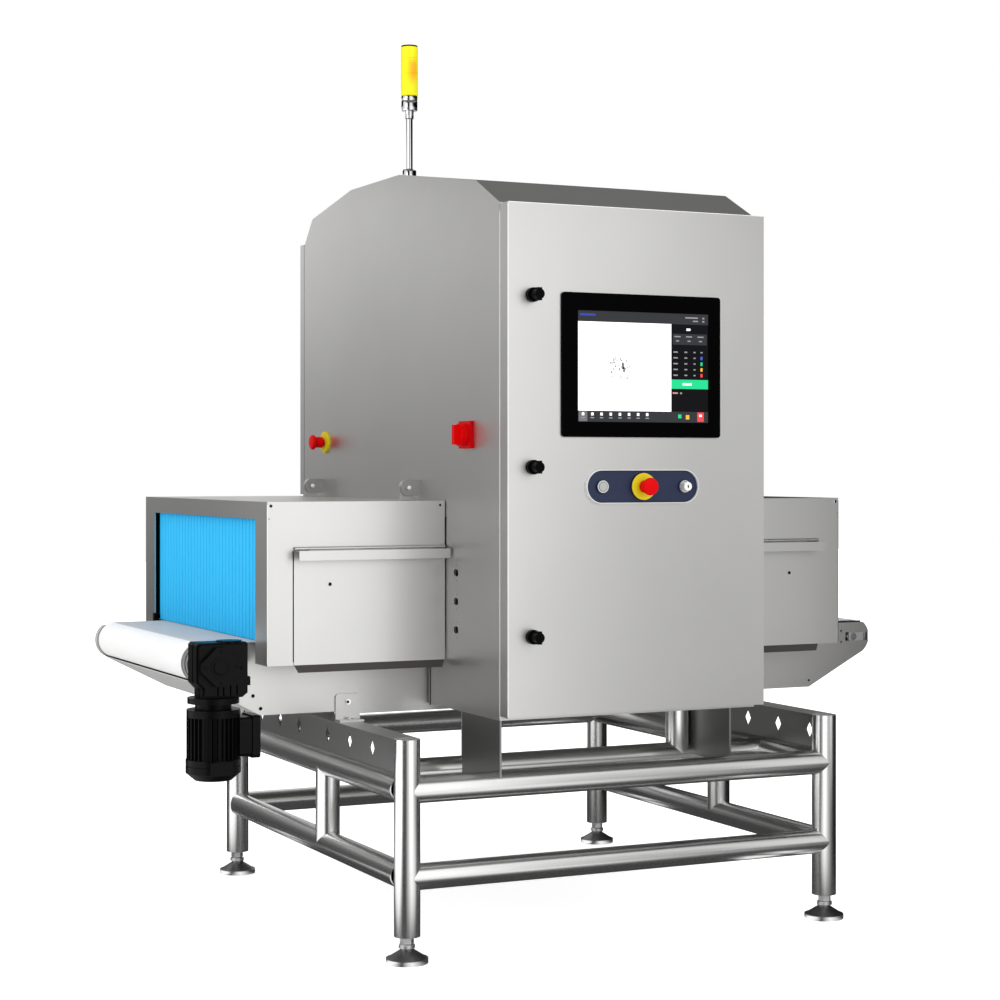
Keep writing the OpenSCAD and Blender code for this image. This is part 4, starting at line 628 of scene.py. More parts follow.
holes = [("conveyor_plates", x, z) for x, z in ((-802.5, 587.7), (-783.2, 556.3), (797.7, 555.4))]
on_metal(plate_opening, "plate_openings", "machine", "front", holes)
on_metal(plate_opening, "plate_openings_back", "machine", "back", holes)
cover_screws = [("gearbox", GEAR_X + SCREW_RING * math.cos(a), GEAR_Z + SCREW_RING * math.sin(a))
                for a in (0, math.pi / 2, math.pi, 3 * math.pi / 2)]
cover_screws.append(("gearbox", -872.5, 668.5))
on_metal(black_screw, "gear_cover_screws", "machine", "front", cover_screws)
lid_screws = [("gear_motor", y, z) for y in (-272, -334) for z in (474, 535)]
on_metal(black_screw, "terminal_lid_screws", "machine", "right", lid_screws)
for master in MASTERS:
    bpy.data.objects.remove(master)
print("screws on the gear cover:", len(cover_screws))

# %% [markdown]
# ## Access doors with a short skirt
# Each hood has a hinged access door whose lower edge is a skirt, folded outward. Its finish colours
# the skirt dark and dull as painted shade. The real skirt is about half as tall as the one in the
# CAD model. A CAD mesh is never changed, so a copy of the door is merged, its lowest edge is moved
# up along the fold and drawn in a little, and the copy stands for the node.

# %% Shorten the skirts
SKIRT_END = 0.634
SKIRT_MOVE, SKIRT_NARROW = (0, 0.0048, 0.0165), (0.955, 1, 1)


def short_skirt(side):
    node = side + "_access_door"
    leaf = bpy.data.objects.new(side + "_access_leaf", nodes[node].data.copy())
    bpy.context.scene.collection.objects.link(leaf)
    only(leaf)
    bpy.ops.object.mode_set(mode="EDIT")
    bpy.ops.mesh.select_all(action="SELECT")
    bpy.ops.mesh.remove_doubles(threshold=0.00001)
    bpy.ops.mesh.select_all(action="DESELECT")
    bpy.ops.object.mode_set(mode="OBJECT")
    for vertex in leaf.data.vertices:
        vertex.select = vertex.co.z < SKIRT_END + MM
    moved = sum(vertex.select for vertex in leaf.data.vertices)
    bpy.ops.object.mode_set(mode="EDIT")
    bpy.ops.mesh.select_mode(type="VERT")
    bpy.ops.transform.translate(value=SKIRT_MOVE)
    bpy.ops.transform.resize(value=SKIRT_NARROW)
    bpy.ops.object.mode_set(mode="OBJECT")
    dress(leaf, node, skirt_shade_steel, angle=8)
    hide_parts(node)
    print(leaf.name, "vertices moved:", moved)


for side in ("left", "right"):
    short_skirt(side)

# %% [markdown]
# ## Strip curtains
# The curtains are stiff leaded-rubber strips that hang from a rod behind each mouth. Lines in a
# material could suggest them, but strips that really are apart stay right from close by and when
# the curtain swings. One strip is modelled with softened long edges and copied along the rod. A
# second row behind is shifted by half a strip, as on the real machine, so that no gap lets rays
# through. The rod itself stays with the hood, and only the strips swing.

# %% A strip and its copies
STRIP_PITCH, STRIP_FIRST, STRIP_COUNT = 26.25, -244.0, 32
STRIP_HALF, STRIP_MARGIN, STRIP_SOFT, ROW_STEP = 1.4, 1.5, 1.3, 2.4
ROD_X, ROD_Z, STRIP_LOW = -787.8, 1032.0, 721.2
ROLL = [(8.4, 0), (8.9, 0.6), (8.9, 839.4), (8.4, 840)]
ROD = [(6.2, 0), (7, 0.8), (7, 1014.2), (6.2, 1015)]
ROD_START = -331.5


def row_of_strips(x, shift, count):
    strip = block("strip", (x - STRIP_HALF, STRIP_FIRST + shift + STRIP_MARGIN, STRIP_LOW),
                  (x + STRIP_HALF, STRIP_FIRST + shift + STRIP_PITCH - STRIP_MARGIN, ROD_Z),
                  soft=STRIP_SOFT)
    strips = []
    for number in range(count):
        twin = strip.copy()
        twin.data = strip.data.copy()
        twin.data.transform(Matrix.Translation((0, number * STRIP_PITCH * MM, 0)))
        bpy.context.scene.collection.objects.link(twin)
        strips.append(twin)
    bpy.data.objects.remove(strip)
    return strips


def curtain(side):
    rod_x = mirrored(side, ROD_X)
    outward = -1 if side == "left" else 1
    strips = row_of_strips(rod_x + outward * ROW_STEP, 0.0, STRIP_COUNT)
    strips += row_of_strips(rod_x - outward * ROW_STEP, STRIP_PITCH / 2, STRIP_COUNT - 1)
    rolled = turned("rolled_top", ROLL, (rod_x, STRIP_FIRST, ROD_Z), TO_BACK, sides=24)
    body = side + "_curtain"
    row = dress(joined(side + "_strips", strips + [rolled]), body, curtain_blue, angle=40)
    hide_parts(body)
    rod = turned(side + "_curtain_rod", ROD, (rod_x, ROD_START, ROD_Z), TO_BACK, sides=24)
    dress(rod, side + "_hood", bright_steel)
    print(body, "strips:", len(strips), "faces:", len(row.data.polygons))


for side in ("left", "right"):
    curtain(side)

# %% [markdown]
# ## Painted edge highlights and seam shade
# Thin lines give a sheet-metal machine its crisp look: a folded edge catches the light, and the gap
# beside it stays dark. Here both are painted: the near-white strips are painted highlights of
# folded edges, and the black strips are painted shade in gaps and in the curtains' mouths. Painting
# them into a material would blur them, so each is a slim strip with softened edges, laid on its own
# sheet, and it moves with that sheet.

# %% Painted highlights on folded edges and painted shade in seams
SEAM_SOFT = 0.45
SEAMS = [
    ("panel_front_edge", "machine", (-342.6, -647.2, 556), (-340.4, -645.0, 1740), painted_highlight_steel),
    ("door_left_edge", "front_door", (-343.0, -691.0, 562), (-341.2, -689.2, 1754), painted_highlight_steel),
    ("door_top_edge", "front_door", (-341, -691.0, 1755.6), (353, -689.2, 1757.3), painted_highlight_steel),
    ("left_hood_corner_edge", "left_hood", (-805.4, -335.9, 671), (-803.6, -334.2, 1052),
     painted_highlight_steel),
    # painted shade: the black strips stand for the dark of the gaps, the right hood's corner and
    # the curtains' mouths
    ("left_hood_door_seam", "left_hood", (-740.6, -336.0, 676), (-738.6, -334.6, 941), shade_and_mark_black),
    ("left_door_edge", "left_access_door", (-738.4, -338.4, 671), (-736.9, -336.6, 918),
     painted_highlight_steel),
    ("left_hood_panel_seam", "machine", (-342.9, -338.6, 946), (-341.5, -335.8, 1019), shade_and_mark_black),
    ("left_plate_panel_seam", "machine", (-342.9, -242.5, 545), (-341.5, -239.0, 662), shade_and_mark_black),
    ("right_hood_corner_edge", "right_hood", (816.4, -335.6, 671), (817.6, -334.4, 1052),
     gasket_rubber),
    ("left_mouth_shade", "left_hood", (-791.5, 594, 724), (-788, 634, 1030), shade_and_mark_black),
    ("left_mouth_foot", "left_hood", (-806.5, 590, 712), (-796, 613, 738), black_plastic),
    ("right_mouth_shade", "right_hood", (800.4, 594, 724), (803.9, 634, 1030), shade_and_mark_black),
    ("right_mouth_foot", "right_hood", (808.4, 590, 712), (818.9, 613, 738), black_plastic),
]
for name, body, low, high, finish in SEAMS:
    dress(block(name, low, high, soft=SEAM_SOFT), body, finish)
print("seams and edges:", len(SEAMS))

# %% [markdown]
# ## The picture on the screen
# The display shows one scanned product on a white field, with a dark side column of readings and
# a bar of buttons below. It is a set of flat bars just in front of the glass. Each colour could
# have a material of its own, but here each bar keeps its colour in an attribute, so that one
# softly lit material serves them all.

# %% The display's material
GLOW_LOW, GLOW_HIGH, FLECK_SCALE = 0.46, 0.54, 700.0

display_light, display_tree, display_shader = new_material("display_light")
display_ink = add_node(display_tree, "ShaderNodeAttribute", attribute_name="ink")
fleck = noise(display_tree, object_pattern(display_tree), FLECK_SCALE, 2.0)
for socket in ("Base Color", "Emission Color"):
    display_tree.links.new(display_ink.outputs["Color"], display_shader.inputs[socket])
display_tree.links.new(span(display_tree, fleck, GLOW_LOW, GLOW_HIGH),
                       display_shader.inputs["Emission Strength"])
display_shader.inputs["Roughness"].default_value = 0.6
display_shader.inputs["Specular IOR Level"].default_value = 0.06

# %% One flat bar
LAYER_STEP = 0.1
glass_low, glass_high = (Vector(corner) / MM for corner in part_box("screen_glass"))
SCREEN_W, SCREEN_H = glass_high.x - glass_low.x, glass_high.z - glass_low.z


def bar(x0, z0, x1, z1, ink, layer):
    """A flat bar between shares of the screen, counted from its top left corner."""
    piece = start(bpy.ops.mesh.primitive_plane_add, size=1, rotation=(math.radians(90), 0, 0))
    piece.scale = ((x1 - x0) * SCREEN_W * MM, (z1 - z0) * SCREEN_H * MM, 1)
    piece.location = ((glass_low.x + (x0 + x1) / 2 * SCREEN_W) * MM,
                      (glass_low.y - LAYER_STEP * layer) * MM,
                      (glass_high.z - (z0 + z1) / 2 * SCREEN_H) * MM)
    settle(piece)
    tone = piece.data.attributes.new("ink", "FLOAT_COLOR", "POINT")
    for value in tone.data:
        value.color = (*ink, 1)
    return piece


def mark(x, z, half_w, half_h, ink, layer):
    """A bar about a middle point."""
    return bar(x - half_w, z - half_h, x + half_w, z + half_h, ink, layer)


# %% Fields of the display
WHITE, PALE, NIGHT = (1, 1, 1), (0.22, 0.22, 0.23), (0.004, 0.004, 0.005)
SLATE, DULL_RED = (0.026, 0.027, 0.030), (0.5, 0.2, 0.2)
BLUE, GREEN = (0.05, 0.08, 0.50), (0.015, 0.48, 0.19)
AMBER, RED = (0.70, 0.36, 0.03), (0.70, 0.05, 0.06)

# Each field's left, top, right and bottom, as shares of the screen, with its ink and its layer
FIELDS = [
    (0, 0, 1, 1, NIGHT, 1), (0, 0, 1, 0.098, SLATE, 2), (0, 0.9, 1, 1, SLATE, 2),
    (0, 0.098, 0.711, 0.9, WHITE, 2), (0.722, 0.185, 0.99, 0.285, SLATE, 2),
    (0.711, 0.605, 1, 0.69, GREEN, 2), (0.005, 0.905, 0.07, 0.995, (0.12, 0.12, 0.13), 3),
    (0.015, 0.026, 0.13, 0.046, (0.03, 0.05, 0.30), 3), (0.82, 0.03, 0.92, 0.042, PALE, 3),
    (0.88, 0.06, 0.92, 0.072, PALE, 3), (0.955, 0.03, 0.97, 0.045, PALE, 3),
    (0.955, 0.06, 0.97, 0.075, PALE, 3), (0.83, 0.135, 0.86, 0.155, WHITE, 3),
]
bars = [bar(*field) for field in FIELDS]
print("fields:", len(bars))

# %% Buttons, readings and their marks
BUTTON_COUNT, BUTTON_FIRST, BUTTON_STEP = 8, 0.038, 0.0695
READING_FIRST, READING_STEP = 0.353, 0.053
READINGS = ((0.745, 0.034), (0.825, 0.022), (0.893, 0.016))

for number in range(BUTTON_COUNT):
    middle = BUTTON_FIRST + number * BUTTON_STEP
    bars.append(bar(middle - 0.009, 0.917, middle + 0.009, 0.942, WHITE, 4))
    bars.append(bar(middle - 0.013, 0.958, middle + 0.013, 0.968, PALE, 4))
for row, ink in enumerate((PALE, BLUE, GREEN, AMBER, RED)):
    z = READING_FIRST + row * READING_STEP
    bars += [mark(x, z, width / 2, 0.006, PALE, 3) for x, width in READINGS]
    tall = 0.006 if row == 0 else 0.016
    bars.append(bar(0.940, z - tall, 0.956, z + tall, ink, 3))
for x in (0.76, 0.85, 0.94):
    bars.append(bar(x - 0.024, 0.205, x + 0.024, 0.216, PALE, 3))
    bars.append(bar(x - 0.012, 0.245, x + 0.012, 0.256, PALE, 3))
SMALL_MARKS = [
    (0.722, 0.722, 0.762, 0.736, DULL_RED, 3), (0.78, 0.722, 0.795, 0.738, PALE, 3),
    (0.915, 0.905, 0.965, 0.99, RED, 3), (0.93, 0.925, 0.95, 0.945, WHITE, 4),
    (0.765, 0.925, 0.79, 0.96, GREEN, 3), (0.825, 0.93, 0.852, 0.97, AMBER, 3),
    (0.80, 0.637, 0.87, 0.657, WHITE, 3),
]
bars += [bar(*values) for values in SMALL_MARKS]
print("bars:", len(bars))

# %% [markdown]
# ## The scanned product
# The white field shows what the rays see: a handful of small grains with a denser piece among
# them. Placing each grain by hand would take long and look laid out, so a seeded random draw
# scatters them, and the seed makes every run give the same picture.

# %% A handful of grains
GRAIN_COUNT, GRAIN_SEED = 84, 7

chance = random.Random(GRAIN_SEED)
for number in range(GRAIN_COUNT):
    x = 0.315 + chance.uniform(-0.075, 0.075)
    z = 0.505 + chance.uniform(-0.095, 0.095)
    grey = chance.uniform(0.08, 0.45)
    w, h = chance.uniform(0.004, 0.009), chance.uniform(0.007, 0.020)
    bars.append(bar(x, z, x + w, z + h, (grey, grey, grey), 3))
bars.append(bar(0.332, 0.46, 0.346, 0.52, (0.03, 0.03, 0.03), 4))
bars.append(bar(0.340, 0.50, 0.354, 0.55, (0.10, 0.10, 0.10), 4))
dress(joined("display_picture", bars), "front_door", display_light)
print("bars with the product:", len(bars))

# %% [markdown]
# ## Border of the control plate
# The dark blue plate has a thin pale border with round ends. It could be two discs and a box,
# but their joins would show. Instead one square is bevelled at its corners until its ends are
# round, inset to a thin band, and drawn out past the plate's thickness.

# %% A band from a flat face
def raise_band(width, move):
    """Turns the selected flat face into a band of a width and draws it out, in edit mode."""
    bpy.ops.mesh.inset(thickness=width * MM, use_boundary=True)
    bpy.ops.mesh.delete(type="FACE")
    bpy.ops.mesh.select_all(action="SELECT")
    bpy.ops.mesh.extrude_region_move(TRANSFORM_OT_translate={"value": move})
    bpy.ops.mesh.select_all(action="SELECT")
    bpy.ops.mesh.normals_make_consistent(inside=False)
    bpy.ops.object.mode_set(mode="OBJECT")


# %% A border with round ends
END_SEGMENTS, NEARLY_ROUND = 14, 0.995
BORDER_WIDTH, BORDER_OUT = 1.5, 0.3


def round_ended_border(name, low, high, y_front, y_back):
    """A band inside (x, z) corners, from y_back out to y_front."""
    piece = start(bpy.ops.mesh.primitive_plane_add, size=1, rotation=(math.radians(90), 0, 0))
    piece.scale = ((high[0] - low[0]) * MM, (high[1] - low[1]) * MM, 1)
    piece.location = ((low[0] + high[0]) / 2 * MM, y_back * MM, (low[1] + high[1]) / 2 * MM)
    settle(piece)
    bpy.ops.object.mode_set(mode="EDIT")
    bpy.ops.mesh.select_all(action="SELECT")
    bpy.ops.mesh.bevel(offset=(high[1] - low[1]) / 2 * MM * NEARLY_ROUND, segments=END_SEGMENTS,
                       affect="VERTICES")
    raise_band(BORDER_WIDTH, (0, (y_front - y_back) * MM, 0))
    piece.name = name
    return piece


plate_low, plate_high = (Vector(corner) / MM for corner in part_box("control_plate"))
border = round_ended_border(
    "control_plate_border", (plate_low.x - BORDER_OUT, plate_low.z - BORDER_OUT),
    (plate_high.x + BORDER_OUT, plate_high.z + BORDER_OUT), plate_low.y - BORDER_OUT,
    plate_high.y)
dress(border, "front_door", pale_border)
print("border faces:", len(border.data.polygons))

# %% [markdown]
# ## Rings and caps of the controls
# The stop button sits in a yellow ring, and the start button and the key switch in bright
# bezels. The yellow ring has a stepped profile, so it is turned. The bezels could be turned as
# well, but a turned piece is closed, and the button has to move through its bezel when it is
# pressed, so they are open bands. The cap and the key's face ride on the pieces that move.

# %% Yellow ring and open bezels
CONTROL_Z, PLATE_Y = 1095.0, -699.0
STOP_X, START_X, KEY_X = 12.2, -97.8, 125.2
BEZEL_R, BEZEL_WALL, BEZEL_TALL = 14.6, 2.5, 1.8

ring = turned("stop_button_ring", [(32, 0), (32, 2.2), (31, 3.2), (24, 3.6), (19, 2.6)],
              (STOP_X, PLATE_Y, CONTROL_Z), TO_FRONT, sides=56)
dress(ring, "front_door", ring_yellow)
for name, x in (("start_button_bezel", START_X), ("key_switch_bezel", KEY_X)):
    bezel = start(bpy.ops.mesh.primitive_circle_add, vertices=48, radius=BEZEL_R * MM,
                  fill_type="NGON")
    bezel.name = name
    bpy.ops.object.mode_set(mode="EDIT")
    bpy.ops.mesh.select_all(action="SELECT")
    raise_band(BEZEL_WALL, (0, 0, BEZEL_TALL * MM))
    bezel.rotation_euler = [math.radians(angle) for angle in TO_FRONT]
    bezel.location = (x * MM, PLATE_Y * MM, CONTROL_Z * MM)
    dress(settle(bezel), "front_door", satin_steel)
print("bezels at", START_X, "and", KEY_X)

# %% Cap of the start button, face and slot of the key switch
CAP_Y, KEY_Y = -701.0, -715.0

cap = turned("start_button_cap", [(10.6, 0), (10.6, 1.0), (9.6, 1.8), (9.0, 1.4)],
             (START_X, CAP_Y, CONTROL_Z), TO_FRONT, sides=40)
dress(cap, "start_button", pale_grey)
# the key's face takes the near-white steel, a painted highlight
face = turned("key_face", [(10.6, 0), (10.0, 1.0), (7.2, 1.2), (6.9, 0.4), (6.0, 0.4), (5.7, 1.2)],
              (KEY_X, KEY_Y, CONTROL_Z), TO_FRONT, sides=40)
dress(face, "key_switch", painted_highlight_steel)
# painted shade: the key slot is a black block for the slot's depth
slot = block("key_slot", (123.7, -716.9, 1091.5), (126.7, -715.9, 1098.5), soft=0.3)
dress(slot, "key_switch", shade_and_mark_black)
print("controls dressed")

# %% [markdown]
# ## The tint of the light tower
# The tower's modules are ribbed lenses, yellow with an amber lamp glowing through one side.
# Glass and a real lamp inside would be slow and grainy to render, so the lens is solid and its
# colour changes instead: four soft limits, across and up, are multiplied into a share of amber.

# %% The lenses' tint
# Each limit: its axis, its value before and after, and the places in metres between which it
# changes
AMBER_FROM = ("X", 0.0, 0.85, -0.318, -0.304)
AMBER_LIMITS = (("X", 1.0, 0.25, -0.298, -0.286), ("Z", 0.0, 1.0, 2.130, 2.158),
                ("Z", 1.0, 0.0, 2.190, 2.208))
RIB_SCALE = 420.0

lens_tint, lens_tree, lens_shader = new_material("lens_tint")
lens_place = add_node(lens_tree, "ShaderNodeSeparateXYZ")
lens_tree.links.new(object_pattern(lens_tree), lens_place.inputs[0])
amber_share = span(lens_tree, lens_place.outputs[AMBER_FROM[0]], *AMBER_FROM[1:])
for axis, *limit in AMBER_LIMITS:
    product = add_node(lens_tree, "ShaderNodeMath", operation="MULTIPLY")
    lens_tree.links.new(amber_share, product.inputs[0])
    lens_tree.links.new(span(lens_tree, lens_place.outputs[axis], *limit), product.inputs[1])
    amber_share = product.outputs[0]
ribs = noise(lens_tree, object_pattern(lens_tree, ALONG_Z), RIB_SCALE, 2.0)
yellow_tone = ramp(lens_tree, ribs, [(PATCH_FROM, (0.92, 0.84, 0.008)),
                                     (PATCH_TO, (1.0, 0.95, 0.02))])
amber_tone = ramp(lens_tree, ribs, [(PATCH_FROM, (0.90, 0.36, 0.01)),
                                    (PATCH_TO, (1.0, 0.46, 0.02))])
lens_tree.links.new(blend_colours(lens_tree, yellow_tone, amber_tone, amber_share),
                    lens_shader.inputs["Base Color"])
lens_tree.links.new(span(lens_tree, ribs, 0.22, 0.34), lens_shader.inputs["Roughness"])
lens_shader.inputs["Specular IOR Level"].default_value = 0.18
bump(lens_tree, lens_shader, ribs, 0.0001, 0.4)

# %% [markdown]
# ## The light tower
# The tower stands on the roof: a flanged stem, a chrome socket, a stack of lens modules and a
# black cap. The CAD model has one plain pole and one plain stack. Both could be kept and
# ringed, but rings would only lie on the surface. So each module is turned on its own with
# rounded rims, which leaves a fine groove between them, and the stem gets its flange, collar
# and socket in one turning.

# %% Lens modules and cap
TOWER_X, TOWER_Y, STEM_Z = -302.8, -16.0, 1882.0
MODULES = (("lens_low", 2107.6, 2164.7), ("lens_middle", 2164.7, 2204.5),
           ("lens_top", 2204.5, 2235.0))
CAP = [(20.8, 0), (21.4, 1.0), (21.0, 3.6), (15, 4.6), (4, 5)]


def lens(name, low, high):
    tall = high - low
    rings = [(20.8, 0), (21.8, 0.8), (22, 1.4), (22, tall - 1.4), (21.8, tall - 0.8), (20.8, tall)]
    return dress(turned(name, rings, (TOWER_X, TOWER_Y, low), sides=48), "machine", lens_tint)


modules = [lens(*values) for values in MODULES]
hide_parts("tower_lenses")
rim = turned("lens_cap", CAP, (TOWER_X, TOWER_Y, MODULES[-1][2]), sides=48)
dress(rim, "machine", black_plastic)
print("tower modules:", len(modules))

# %% Stem, socket and flange bolts
STEM = [(9, 0), (9, 15.8), (18, 16.2), (18, 30), (17, 32), (12.5, 32.6), (10.5, 35), (8.5, 36),
        (8.5, 165), (11, 167), (11.2, 185), (12, 186.5), (20.2, 187.2), (21, 189), (21, 211),
        (20.2, 212.4), (20.2, 214), (21, 215.4), (21, 224), (20.4, 225.6)]
BOLT_RING, FLANGE_TOP = 14.6, 31.6

stem = turned("tower_stem", STEM, (TOWER_X, TOWER_Y, STEM_Z), sides=48)
dress(stem, "machine", chrome)
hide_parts("tower_pole")
for number, (x, y) in enumerate(((-BOLT_RING, 0), (BOLT_RING, 0), (0, -BOLT_RING), (0, BOLT_RING))):
    bolt = turned("tower_bolt_" + str(number), [(2.4, 0), (2.4, 2.0), (1.8, 2.6), (1.0, 2.7)],
                  (TOWER_X + x, TOWER_Y + y, STEM_Z + FLANGE_TOP), sides=6)
    dress(bolt, "machine", black_plastic)
print("rings on the stem:", len(STEM))

# %% [markdown]
# ## Hinge pins of the hoods
# Each hood turns on bright pins through pairs of lugs. The CAD pins end flat. A half sphere
# would stand out too far, so a low domed head, turned in a few rings, closes the front end of
# each pin.

# %% Domed pin heads
PIN_X, PIN_Z = -376.2, 1089
PIN_PLACES = (("front", -188.0), ("back", 504.0))
PIN_HEAD = [(5.4, 0), (5.4, 1.4), (4.4, 2.8), (2.4, 3.6), (0.6, 3.8)]

for side in ("left", "right"):
    for spot, y in PIN_PLACES:
        # the pin heads take the near-white steel, a painted highlight
        head = turned(side + "_pin_" + spot, PIN_HEAD, (mirrored(side, PIN_X), y, PIN_Z),
                      TO_FRONT, sides=28)
        dress(head, "machine", painted_highlight_steel)
print("pin heads:", 2 * len(PIN_PLACES))

# %% [markdown]
# ## Levelling feet
# Each foot has a hexagon lock nut over a turned collar, round the threaded spindle. A nut could
# be a plain six-sided block, but its chamfers are what shows at this size. It is turned with six
# sides, so the chamfers come from the rings, and a groove halfway makes it a pair of thin nuts.

# %% Collars and nuts of the feet
FEET_X, FEET_Y = (-566.8, 579.3), (-620.9, 598.9)
COLLAR_Z, NUT_Z, NUT_TURN = 35.6, 45.6, (0, 0, 15)
COLLAR = [(17, 0), (18.8, 1.2), (18.8, 8), (17.6, 9.4), (12.5, 10)]
NUT = [(13.4, 0), (16.4, 1.6), (16.4, 8.2), (15.2, 9), (16.4, 9.8), (16.4, 16.4), (13.4, 18),
       (10.6, 18.2), (10.6, 22)]

hardware = []
for x in FEET_X:
    for y in FEET_Y:
        hardware += [turned("collar", COLLAR, (x, y, COLLAR_Z), sides=40),
                     turned("nut", NUT, (x, y, NUT_Z), NUT_TURN, sides=6)]
print("nuts and collars:", len(hardware))
hardware = dress(joined("foot_hardware", hardware), "machine", satin_steel)
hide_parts("foot_nuts")

# %% [markdown]
# ## Drive end
# A bright sleeve with a groove lies between the gear casing and the conveyor's side plate, and
# the casing's round cover has a raised ring. Both are round and stepped, so both are turned. The
# ring's depth could be typed, but like the screws round it, it is seated where a line from the
# front meets the casing.

# %% Sleeve and gear cover ring
SLEEVE_Y = -226
SLEEVE = [(49.4, 0), (50.8, 1), (50.8, 12.6), (46.5, 13.6), (46.5, 20), (50.8, 21), (50.8, 31),
          (49, 32)]
COVER = [(19, 0), (19, 1.0), (17.6, 1.8), (15, 1.8), (14.2, 0.8), (6, 0.8), (5.2, 1.6)]

flange = turned("drive_flange_sleeve", SLEEVE, (GEAR_X, SLEEVE_Y, GEAR_Z), TO_FRONT, sides=64)
dress(flange, "machine", satin_steel)
gear_front = landing("gearbox", "front", GEAR_X, GEAR_Z)
cover = turned("gear_cover_ring", COVER, (GEAR_X, gear_front.y / MM, GEAR_Z), TO_FRONT, sides=40)
dress(cover, "machine", motor_paint)
print("gear cover ring at y", round(gear_front.y, 4))

# %% [markdown]
# ## Idler end
# At the other end a block fills the fork that carries the idler drum, a threaded rod pushes it out
# to keep the belt tight, and scale marks show how far. A black strip above is painted shade in the
# gap between the belt and the plate. These are cut from bar, so they are blocks with soft edges,
# and one loop makes them for both plates.

# %% Tension block, rod and marks
# Each plate's name, the block's two faces, and the y of the marks' face
PLATES = (("front", -224.6, -217, -225.4), ("back", 557, 564.6, 565.4))
ROD_END_X, TENSION_Z = 950, 672.5
TENSION_ROD = [(3, 0), (5.6, 0.8), (5.6, 26), (4.6, 27)]
MARKS_X, MARK_WIDTH, MARK_THICK = (977, 982, 987), 1.3, 0.8
GAP_IN = 1.6

for spot, y_low, y_high, y_face in PLATES:
    # the tension block takes the frame steel, darkened as painted shade
    tension = block("tension_block_" + spot, (974.5, y_low, 659.5), (992.2, y_high, 685.5),
                    soft=1.2)
    dress(tension, "machine", painted_shade_frame_steel)
    rod = turned("tension_rod_" + spot, TENSION_ROD, (ROD_END_X, (y_low + y_high) / 2, TENSION_Z),
                 TO_RIGHT, sides=24)
    dress(rod, "machine", satin_steel)
    y_near, y_far = min(y_face, y_face + MARK_THICK), max(y_face, y_face + MARK_THICK)
    lines = [block("line", (x, y_near, 662), (x + MARK_WIDTH, y_far, 683), soft=0.3)
             for x in MARKS_X]
    dress(joined("tension_marks_" + spot, lines), "machine", shade_and_mark_black)
    # painted shade: a black strip in the gap between the belt and the plate
    gap = block("belt_gap_" + spot, (826, y_low + GAP_IN, 711), (968, y_high - GAP_IN, 716.5))
    dress(gap, "machine", gasket_rubber)
print("idler end dressed on", len(PLATES), "plates")

# %% [markdown]
# ## The studio floor
# The photograph has a white background and soft light. A pale floor catches the shadow. A white
# floor lit by strong lamps would wash out the steel, so the floor glows a little instead, but
# only for the rays that look at it: the camera's own, and those that were reflected or passed
# through glass on the way.

# %% What a ray has to be to see the white room
def seen_directly(tree):
    """One for a camera, reflected or transmitted ray, and zero for any other."""
    path = tree.nodes.new("ShaderNodeLightPath")
    seen = path.outputs["Is Camera Ray"]
    for ray in ("Is Glossy Ray", "Is Transmission Ray"):
        either = add_node(tree, "ShaderNodeMath", operation="MAXIMUM")
        tree.links.new(seen, either.inputs[0])
        tree.links.new(path.outputs[ray], either.inputs[1])
        seen = either.outputs[0]
    return seen


# %% Floor
FLOOR_SIZE, FLOOR_GLOW, FLOOR_GREY = 40.0, 0.70, 0.9

floor = start(bpy.ops.mesh.primitive_plane_add, size=FLOOR_SIZE)
floor.name = "studio_floor"
floor_material, floor_tree, floor_shader = new_material("studio_floor")
floor_shader.inputs["Base Color"].default_value = (FLOOR_GREY, FLOOR_GREY, FLOOR_GREY, 1)
floor_shader.inputs["Roughness"].default_value = 0.9
floor_shader.inputs["Specular IOR Level"].default_value = 0.0
floor_shader.inputs["Emission Color"].default_value = (1, 1, 1, 1)
floor_tree.links.new(span(floor_tree, seen_directly(floor_tree), 0.0, FLOOR_GLOW),
                     floor_shader.inputs["Emission Strength"])
floor.data.materials.append(floor_material)
print("floor:", FLOOR_SIZE, "m")

# %% [markdown]
# ## The world and the lamps
# The white world gives the even light of a photo studio, and two large soft lamps add a little
# from the front and the left. Small lamps would throw hard shadows, which the photograph
# doesn't have. The world keeps one background for what is seen and one for what lights, so that
# each can be set by itself.

# %% World
AMBIENT, BACKDROP = 1.0, 1.0

world = bpy.data.worlds.new("studio_world")
bpy.context.scene.world = world
world.use_nodes = True
sky_tree = world.node_tree
sky_tree.nodes.clear()
sky_output = sky_tree.nodes.new("ShaderNodeOutputWorld")
sky_mix = sky_tree.nodes.new("ShaderNodeMixShader")
sky_tree.links.new(seen_directly(sky_tree), sky_mix.inputs["Fac"])
for number, strength in ((1, AMBIENT), (2, BACKDROP)):
    background = add_node(sky_tree, "ShaderNodeBackground", Strength=strength)
    background.inputs["Color"].default_value = (1, 1, 1, 1)
    sky_tree.links.new(background.outputs[0], sky_mix.inputs[number])
sky_tree.links.new(sky_mix.outputs[0], sky_output.inputs["Surface"])


# %% Lamps
def softbox(name, place, target, size, power):
    """A large flat lamp that faces a target."""
    data = bpy.data.lights.new(name, "AREA")
    data.shape = "RECTANGLE"
    data.size, data.size_y = size
    data.energy = power
    lamp = bpy.data.objects.new(name, data)
    lamp.location = place
    lamp.rotation_euler = (Vector(place) - Vector(target)).to_track_quat("Z", "Y").to_euler()
    bpy.context.scene.collection.objects.link(lamp)


softbox("front_lamp", (1.0, -6.0, 3.5), (0, 0, 1.0), (4.0, 3.0), 60.0)
softbox("left_lamp", (-6.0, -3.0, 3.0), (0, 0, 0.8), (3.0, 3.0), 50.0)
print("lamps:", len(bpy.data.lights))

